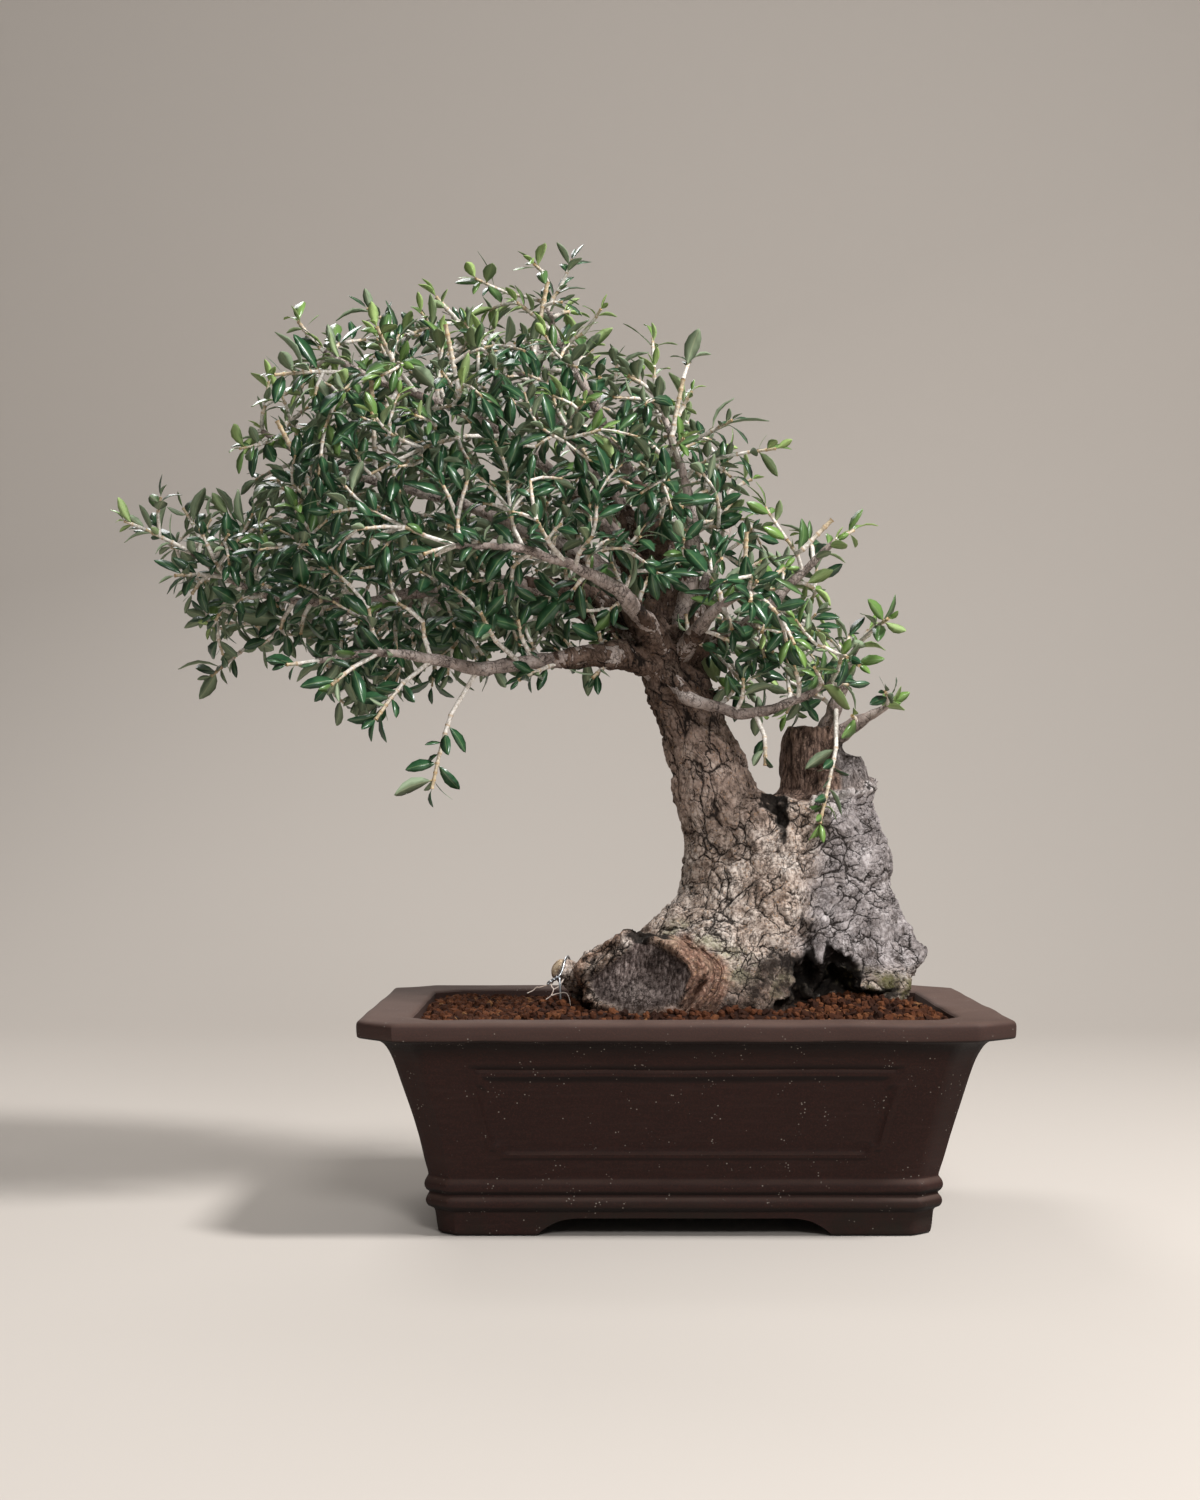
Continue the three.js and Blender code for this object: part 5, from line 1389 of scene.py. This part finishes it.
def crown_depth(points):
    """How deep each point lies under the crown's surface, negative outside it."""
    margin = margin_inside(points[:, (0, 2)], CROWN_OUTLINE)
    half = CROWN_HALF_DEPTH * np.sin(np.clip(margin / CROWN_ROUNDING, 0, 1) * math.pi / 2)
    middle = np.interp(points[:, 0], *zip(*CROWN_MIDDLE))
    return np.minimum(margin, half - np.abs(points[:, 1] - middle)) + CROWN_LUMPS * rough(points, 46, 2)


def crown_tips(spacing):
    """Twig tips spread evenly through the crown's outer layer."""
    chance = np.random.default_rng(SEED)
    xs, zs = zip(*CROWN_OUTLINE)
    low, high = (min(xs), -150, min(zs)), (max(xs), 150, max(zs))
    tries = chance.uniform(low, high, (60000, 3))
    depth = crown_depth(tries)
    kept = np.zeros((0, 3))
    for point in tries[(depth > 4) & (depth < LEAFY_DEPTH)]:
        if not len(kept) or ((kept - point) ** 2).sum(axis=1).min() > spacing ** 2:
            kept = np.vstack([kept, point])
    return kept


class Crown:
    """Twigs grown one after another, each to its tip from the wood that suits it best."""

    def __init__(self, spacing):
        self.places, self.ways = np.zeros((0, 3)), np.zeros((0, 3))
        self.owners, self.orders = np.zeros(0, int), np.zeros(0, int)
        self.twigs = [[] for _ in SPRAYS]
        self.frame_from_limbs()
        for foot, top in CUT_TWIGS:
            self.grow(np.array(foot), bare_to=top)
        tips = np.vstack([STRAY_TIPS, crown_tips(spacing)])
        gaps = [np.linalg.norm(self.places - tip, axis=1).min() for tip in tips]
        for k in np.argsort(gaps):
            self.grow(tips[k])

    def take_in(self, line, owners, order):
        """Later twigs may grow from this line."""
        line = np.array(line, float)
        ways = np.gradient(line, axis=0)
        self.places = np.vstack([self.places, line])
        self.ways = np.vstack([self.ways, ways / np.linalg.norm(ways, axis=1)[:, None]])
        self.owners = np.append(self.owners, owners)
        self.orders = np.append(self.orders, [order] * len(line))

    def frame_from_limbs(self):
        for name, knots in LIMBS.items():
            shares = np.linspace(0.14, 1, len(knots) * 6)
            line = smooth_through(knots, shares)[:, :3]
            own = [(share, k) for k, (limb, share, _) in enumerate(SPRAYS) if limb == name]
            own = [(share, k) for share, k in own if k not in HANGING]
            self.take_in(line, [min(own, key=lambda spray: abs(spray[0] - at))[1] for at in shares], 0)
            # the limb's own end is leafy too
            end = smooth_through(knots, np.linspace(0.7, 1, 7))[:, :3]
            self.twigs[max(own)[1]].append(([Vector(p) for p in end], 3, True))
        for number, (limb, share, tip) in enumerate(SPRAYS):
            near = smooth_through(LIMBS[limb], [max(share - 0.01, 0), share])[:, :3]
            way = Vector(near[1] - near[0]).normalized()
            toward = (Vector(tip) - Vector(near[1])).normalized()
            line = bent_line(near[1], way, Vector(tip) - toward * LEAF_REACH, 9)
            self.twigs[number].append((line, 0, True))
            if number not in HANGING:
                self.take_in(line[1:], [number] * 9, 1)

    def grow(self, tip, bare_to=None):
        gap = tip - self.places
        distance = np.maximum(np.linalg.norm(gap, axis=1), 1)
        forward = (gap * self.ways).sum(axis=1) / distance
        chosen = (distance * (1.4 - 0.4 * forward) + 7 * self.orders).argmin()
        length, order = distance[chosen], int(self.orders[chosen])
        if not TWIG_REACH[0] < length < TWIG_REACH[1]:
            return
        line = bent_line(self.places[chosen], self.ways[chosen], tip, max(3, round(length / 6)))
        if bare_to:
            line += [Vector(tip).lerp(Vector(bare_to), k / 4) for k in range(1, 5)]
        owner = self.owners[chosen]
        self.twigs[owner].append((line, min(order, 3), not bare_to))
        self.take_in(line[1:], [owner] * (len(line) - 1), order + 1)


class Foliage:
    """The leaves of one spray and the drawn lines of its twigs."""

    def __init__(self, number, settings):
        self.draw = random.Random(SEED + number * 31)
        self.keep = HANGING.get(number, 1.0)
        self.length, self.spread = settings.leaf_length / MM, settings.leaf_spread
        self.internode = settings.internode / MM
        self.twigs, self.leaves = [], []

    def leaf(self, root, axis, turn, lean, size, age):
        draw = self.draw
        way = lean_from(axis, lean, turn)
        way = (way + Vector((0, 0, draw.uniform(-0.18, 0.12)))).normalized()
        start, end = Vector(CROWN_HEART[0]), Vector(CROWN_HEART[1])
        along_heart = min(1, max(0, (root - start).dot(end - start) / (end - start).length_squared))
        outward = (root - start.lerp(end, along_heart)).normalized()
        face = outward * 0.6 + axis * 0.3 + Vector((0, 0, 0.65))
        face += Vector([draw.gauss(0, 0.42) for _ in range(3)])
        face = (face - way * face.dot(way)).normalized()
        self.leaves.append((root, way, face, size, age))

    def nodes_along(self, total, bare_share):
        """Distances from the twig's foot where its leaves stand, from the tip down."""
        nodes, place = [], total - 0.3
        while place > total * bare_share:
            nodes.append(place)
            place -= self.internode * self.draw.uniform(0.8, 1.25) * (0.75 + 0.4 * (1 - place / total))
        return nodes

    def dress_twig(self, line, radii, leafy, bare_share, fresh):
        """Opposite leaves at each node, each pair a quarter turn on; a swelling marks the node."""
        draw = self.draw
        steps = [(b - a).length for a, b in zip(line, line[1:])]
        total = sum(steps)
        reached = np.concatenate([[0], np.cumsum(steps)])

        def at(distance):
            k = min(int(np.searchsorted(reached, distance, side="right")) - 1, len(steps) - 1)
            near, far = line[k], line[k + 1]
            return near.lerp(far, (distance - reached[k]) / steps[k]), (far - near).normalized()

        nodes = self.nodes_along(total, bare_share)
        drawn = [(0.0, 0.0)]
        for node in nodes[::-1]:
            drawn += [(node - 1.5, 0.0), (node, 1.0)] + ([(node + 1.2, 0.0)] if node + 1.2 < total else [])
        if not nodes:
            drawn += [(total * 0.5, 0.0), (total, 0.0)]
        thick, thin = radii
        twig = []
        for distance, mark in drawn:
            if distance >= 0:
                radius = (thick + (thin - thick) * distance / total) * (1 + 0.3 * mark)
                twig.append((at(distance)[0], radius, mark, distance / total))
        self.twigs.append(twig)
        turn = draw.uniform(0, math.pi)
        for order, node in enumerate(nodes if leafy else []):
            root, axis = at(node)
            for side in (0, math.pi):
                if draw.random() > self.keep * (0.95 if order < 3 else 0.8):
                    continue
                size = self.length * (1 + self.spread * draw.gauss(0, 0.75)) * (0.72 if order == 0 else 1)
                size *= 1.45 if draw.random() < 0.05 else 1
                lean = draw.uniform(0.25, 0.55) if order == 0 else draw.uniform(0.65, 1.15)
                age = order * 0.12 if fresh else min(1, max(0.2, draw.gauss(0.7, 0.22)))
                age = DEAD_AGE if draw.random() < 0.001 else age
                size = min(LEAF_LIMITS[1], max(LEAF_LIMITS[0], size))
                self.leaf(root, axis, turn + side + draw.uniform(-0.3, 0.3), lean, size, age)
            turn += math.pi / 2


def spray_skeleton(name, foliage):
    """A mesh of twig lines and loose points where the leaves stand, with what they need."""
    points, edges, facts = [], [], []

    def put(point, radius, is_leaf, age, node, turn=(0, 0, 0), scale=(0, 0, 0)):
        points.append(np.array(point) * MM + ORIGIN)
        facts.append((radius * MM, is_leaf, age, node, turn, scale))

    for twig in foliage.twigs:
        for k, (point, radius, mark, share) in enumerate(twig):
            if k:
                edges.append((len(points) - 1, len(points)))
            put(point, radius, 0.0, 1 - share, mark)
    for root, way, face, size, age in foliage.leaves:
        basis = Matrix((way, face.cross(way), face)).transposed()
        width, thickness = foliage.draw.uniform(0.85, 1.15), foliage.draw.uniform(0.2, 1.2)
        scale = (size * MM, size * width * MM, size * thickness * MM)
        put(root, 0.0, 1.0, age, 0.0, basis.to_euler()[:], scale)
    mesh = bpy.data.meshes.new(name)
    mesh.from_pydata([point.tolist() for point in points], edges, [])
    for label, values in zip(("twig_radius", "is_leaf", "age", "node", "turn", "leaf_scale"), zip(*facts)):
        store(mesh, label, values)
    return place_object(name, mesh)


def spray_tree():
    """Round twigs along the skeleton's lines, and a leaf on each of its loose points."""
    tree, given = geometry_tree("Leafy spray", {
        "Skeleton": "Geometry", "Leaf": "Object", "Twig sides": "Int", "Leaf finish": "Material",
        "Twig finish": "Material",
    }, "Spray")
    marks = {}
    for name in ("is_leaf", "twig_radius", "turn", "leaf_scale"):
        kind = "FLOAT" if name in ("is_leaf", "twig_radius") else "FLOAT_VECTOR"
        marks[name] = add(tree, "GeometryNodeInputNamedAttribute", {"Name": name}, data_type=kind)
    for_leaf = add(tree, "FunctionNodeCompare", {0: marks["is_leaf"], 1: 0.5}, operation="GREATER_THAN")
    parted = add(tree, "GeometryNodeSeparateGeometry", {
        "Geometry": given["Skeleton"], "Selection": for_leaf,
    }, domain="POINT")
    lines = add(tree, "GeometryNodeMeshToCurve", {"Mesh": parted.outputs["Inverted"]})
    ring = add(tree, "GeometryNodeCurvePrimitiveCircle", {"Resolution": given["Twig sides"], "Radius": 1.0})
    twigs = add(tree, "GeometryNodeCurveToMesh", {
        "Curve": lines, "Profile Curve": ring, "Fill Caps": True, "Scale": marks["twig_radius"],
    })
    smooth = add(tree, "GeometryNodeSetShadeSmooth", {"Geometry": twigs})
    barked = add(tree, "GeometryNodeSetMaterial", {"Geometry": smooth, "Material": given["Twig finish"]})
    blade = add(tree, "GeometryNodeObjectInfo", {"Object": given["Leaf"], "As Instance": True})
    leaves = add(tree, "GeometryNodeInstanceOnPoints", {
        "Points": parted.outputs["Selection"], "Instance": blade.outputs["Geometry"],
        "Rotation": add(tree, "FunctionNodeEulerToRotation", {0: marks["turn"]}),
        "Scale": marks["leaf_scale"],
    })
    solid = add(tree, "GeometryNodeRealizeInstances", {"Geometry": leaves})
    green = add(tree, "GeometryNodeSetMaterial", {"Geometry": solid, "Material": given["Leaf finish"]})
    both = add(tree, "GeometryNodeJoinGeometry", {"Geometry": [green, barked]})
    add(tree, "NodeGroupOutput", {"Spray": both})
    return tree


def leaf_material(settings):
    """Olive leaf: leathery, waxed and dark above with a paler midrib, felted grey-green below;
    young leaves at the tips are a bright, thinner green."""
    material, tree, place = surface("olive_leaf")
    patterns = lay_patterns(
        tree, place, {"mottle": (130, 4, 0.5), "veins": (1400, 2, 0.5)}, ("age", "midrib", "under", "reach"))
    young = ("age", 0.34, 0.04)
    top = paint(tree, patterns, [
        (settings.top_colour,), ("355c3a", ("mottle", 0.35, 0.65)), (settings.young_colour, young),
        ("8fa070", ("midrib", 0.88, 0.99, 0, 0.4)),
    ])
    under = paint(tree, patterns, [
        (settings.under_colour,), ("a9b08c", ("midrib", 0.84, 0.98, 0, 0.5)), ("9bb46c", young),
    ])
    # the stalk is tan, and a leaf here and there has died and turned brown
    colour = paint(tree, patterns, [
        (top,), (under, "under"), ("a98f62", ("reach", 0.12, 0.04, 0, 0.85)), ("6f4a30", ("age", 1.4, 1.6)),
    ])
    finish(tree, {
        "Base Color": colour, "Roughness": measure(tree, patterns, ("under", 0, 1, 0.28, 0.7)),
        "Specular IOR Level": 0.6,
    }, patterns["veins"], 0.25, 0.1)
    return material


def twig_material():
    """Young olive twigs: pale, silvery skin over grey-tan wood, warmer at the tips."""
    material, tree, place = surface("olive_twig")
    patterns = lay_patterns(tree, place, {"spots": (520, 4, 0.65)}, ("age", "node"))
    colour = paint(tree, patterns, [
        (("spots", (0.35, "9c8668"), (0.6, "cdbb9c")),),
        (("spots", (0.35, "ada295"), (0.5, "d8d0c6"), (0.66, "f2ede7")), ("age", 0.1, 0.45)),
        ("b08a58", ("node", 0.35, 0.95, 0, 0.6)),
    ])
    finish(tree, {"Base Color": colour, "Roughness": 0.7}, patterns["spots"], 0.5, 0.2)
    return material


class BONSAI_OT_sprays(bpy.types.Operator):
    """Grow the leafy sprays of the crown"""
    bl_idname = "bonsai.sprays"
    bl_label = "Sprays"

    def execute(self, context):
        settings = context.scene.bonsai_crown
        tree = spray_tree()
        leaf = leaf_shape()
        leaf_finish, twig_finish = leaf_material(settings), twig_material()
        crown = Crown(TIP_SPACING)
        for number, twigs in enumerate(crown.twigs):
            foliage = Foliage(number, settings)
            for line, order, leafy in twigs:
                tip = np.array(line[-1:])
                sunny = crown_depth(tip)[0] < 22 and (tip[0, 2] > 470 or tip[0, 0] > 40)
                fresh = foliage.draw.random() < (0.5 if sunny else 0.04)
                radii = TWIG_RADII[order] if leafy else CUT_TWIG_RADII
                foliage.dress_twig(line, radii, leafy, 0.42 if order < 2 else 0.2, fresh)
            spray = spray_skeleton(f"leafy_spray_{number + 1:02d}", foliage)
            run_tree(spray, tree, {
                "Leaf": leaf, "Twig sides": 6, "Leaf finish": leaf_finish, "Twig finish": twig_finish,
            })
            dress(spray, f"spray_{number + 1:02d}", slot="leaf")
        discard(leaf)
        return {"FINISHED"}


# ------------------------------------------------------------------------------ the stage
CAMERA_PLACE = (-46, -1416.5, 252.5)
FOCAL_PIXELS, FRAME_PIXELS = 2260, (1200, 1500)
VANISHING_PIXEL = (606, 805)


class BONSAI_OT_stage(bpy.types.Operator):
    """Set the floor, the soft lights and the camera"""
    bl_idname = "bonsai.stage"
    bl_label = "Stage"

    def execute(self, context):
        settings = context.scene.bonsai_stage
        # Board painted with matt emulsion: even, pale and without gloss.
        material, tree, _ = surface("painted_board")
        finish(tree, {"Base Color": linear(settings.floor_colour), "Roughness": 0.85})
        # one sheet: floor, a wide bend, and wall
        profile = [(-3000, 0), (1100, 0)]
        for bend in np.linspace(0.1, math.pi / 2, 14):
            profile.append((1100 + 900 * math.sin(bend), 900 - 900 * math.cos(bend)))
        profile.append((2000, 4200))
        points = [(x, y, z) for y, z in profile for x in (-4200, 4200)]
        faces = [(2 * k, 2 * k + 1, 2 * k + 3, 2 * k + 2) for k in range(len(profile) - 1)]
        floor = mesh_object("floor", points, faces, material)
        focus = Vector((-0.02, 0.0, 0.3))
        for name, place, size, power in (
            ("key", (1.2, -0.75, 1.85), 0.4, 1.5), ("fill", (0.4, -1.9, 1.3), 0.5, 0.45),
            ("rim", (-0.5, 1.1, 1.5), 0.8, 0.3),
        ):
            light = bpy.data.lights.new(name, "AREA")
            light.shape, light.size, light.energy = "DISK", size, settings.light_power * power
            lamp = bpy.data.objects.new(name, light)
            lamp.location = place
            lamp.rotation_euler = (focus - Vector(place)).to_track_quat("-Z", "Y").to_euler()
            context.scene.collection.objects.link(lamp)
        world = bpy.data.worlds.new("studio")
        world.use_nodes = True
        world.node_tree.nodes["Background"].inputs["Color"].default_value = linear("e8e6e3")
        world.node_tree.nodes["Background"].inputs["Strength"].default_value = 0.22
        context.scene.world = world
        context.scene.view_settings.view_transform = "Standard"
        camera = bpy.data.cameras.new("camera")
        camera.sensor_width = 36
        camera.lens = 36 * FOCAL_PIXELS / max(FRAME_PIXELS)
        camera.shift_x = (FRAME_PIXELS[0] / 2 - VANISHING_PIXEL[0]) / max(FRAME_PIXELS)
        camera.shift_y = (VANISHING_PIXEL[1] - FRAME_PIXELS[1] / 2) / max(FRAME_PIXELS)
        viewer = bpy.data.objects.new("camera", camera)
        viewer.location = np.array(CAMERA_PLACE) * MM + ORIGIN
        viewer.rotation_euler = (math.pi / 2, 0, 0)
        context.scene.collection.objects.link(viewer)
        context.scene.camera = viewer
        return {"FINISHED"}


# ------------------------------------------------------------------------------ the add-on
SETTINGS = {
    "bonsai_pot": PotSettings, "bonsai_soil": SoilSettings, "bonsai_wood": WoodSettings,
    "bonsai_crown": CrownSettings, "bonsai_stage": StageSettings,
}
OPERATORS = (
    BONSAI_OT_stage, BONSAI_OT_pot, BONSAI_OT_drain_meshes, BONSAI_OT_granules, BONSAI_OT_wood,
    BONSAI_OT_tie_wire, BONSAI_OT_sprays,
)


class BONSAI_PT_panel(bpy.types.Panel):
    """The bonsai's pieces and their settings"""
    bl_idname = "BONSAI_PT_panel"
    bl_label = "Olive Bonsai"
    bl_space_type = "VIEW_3D"
    bl_region_type = "UI"
    bl_category = "Bonsai"

    def draw(self, context):
        for name, group in SETTINGS.items():
            box = self.layout.box()
            for setting in group.__annotations__:
                box.prop(getattr(context.scene, name), setting)
        for operator in OPERATORS:
            self.layout.operator(operator.bl_idname)


def register():
    for group in SETTINGS.values():
        bpy.utils.register_class(group)
    for cls in (*OPERATORS, BONSAI_PT_panel):
        bpy.utils.register_class(cls)
    for name, group in SETTINGS.items():
        setattr(bpy.types.Scene, name, PointerProperty(type=group))


def unregister():
    for name in SETTINGS:
        delattr(bpy.types.Scene, name)
    for cls in (BONSAI_PT_panel, *OPERATORS, *SETTINGS.values()):
        bpy.utils.unregister_class(cls)


def main():
    register()
    for operator in OPERATORS:
        family, name = operator.bl_idname.split(".")
        getattr(getattr(bpy.ops, family), name)()


if __name__ == "__main__":
    main()
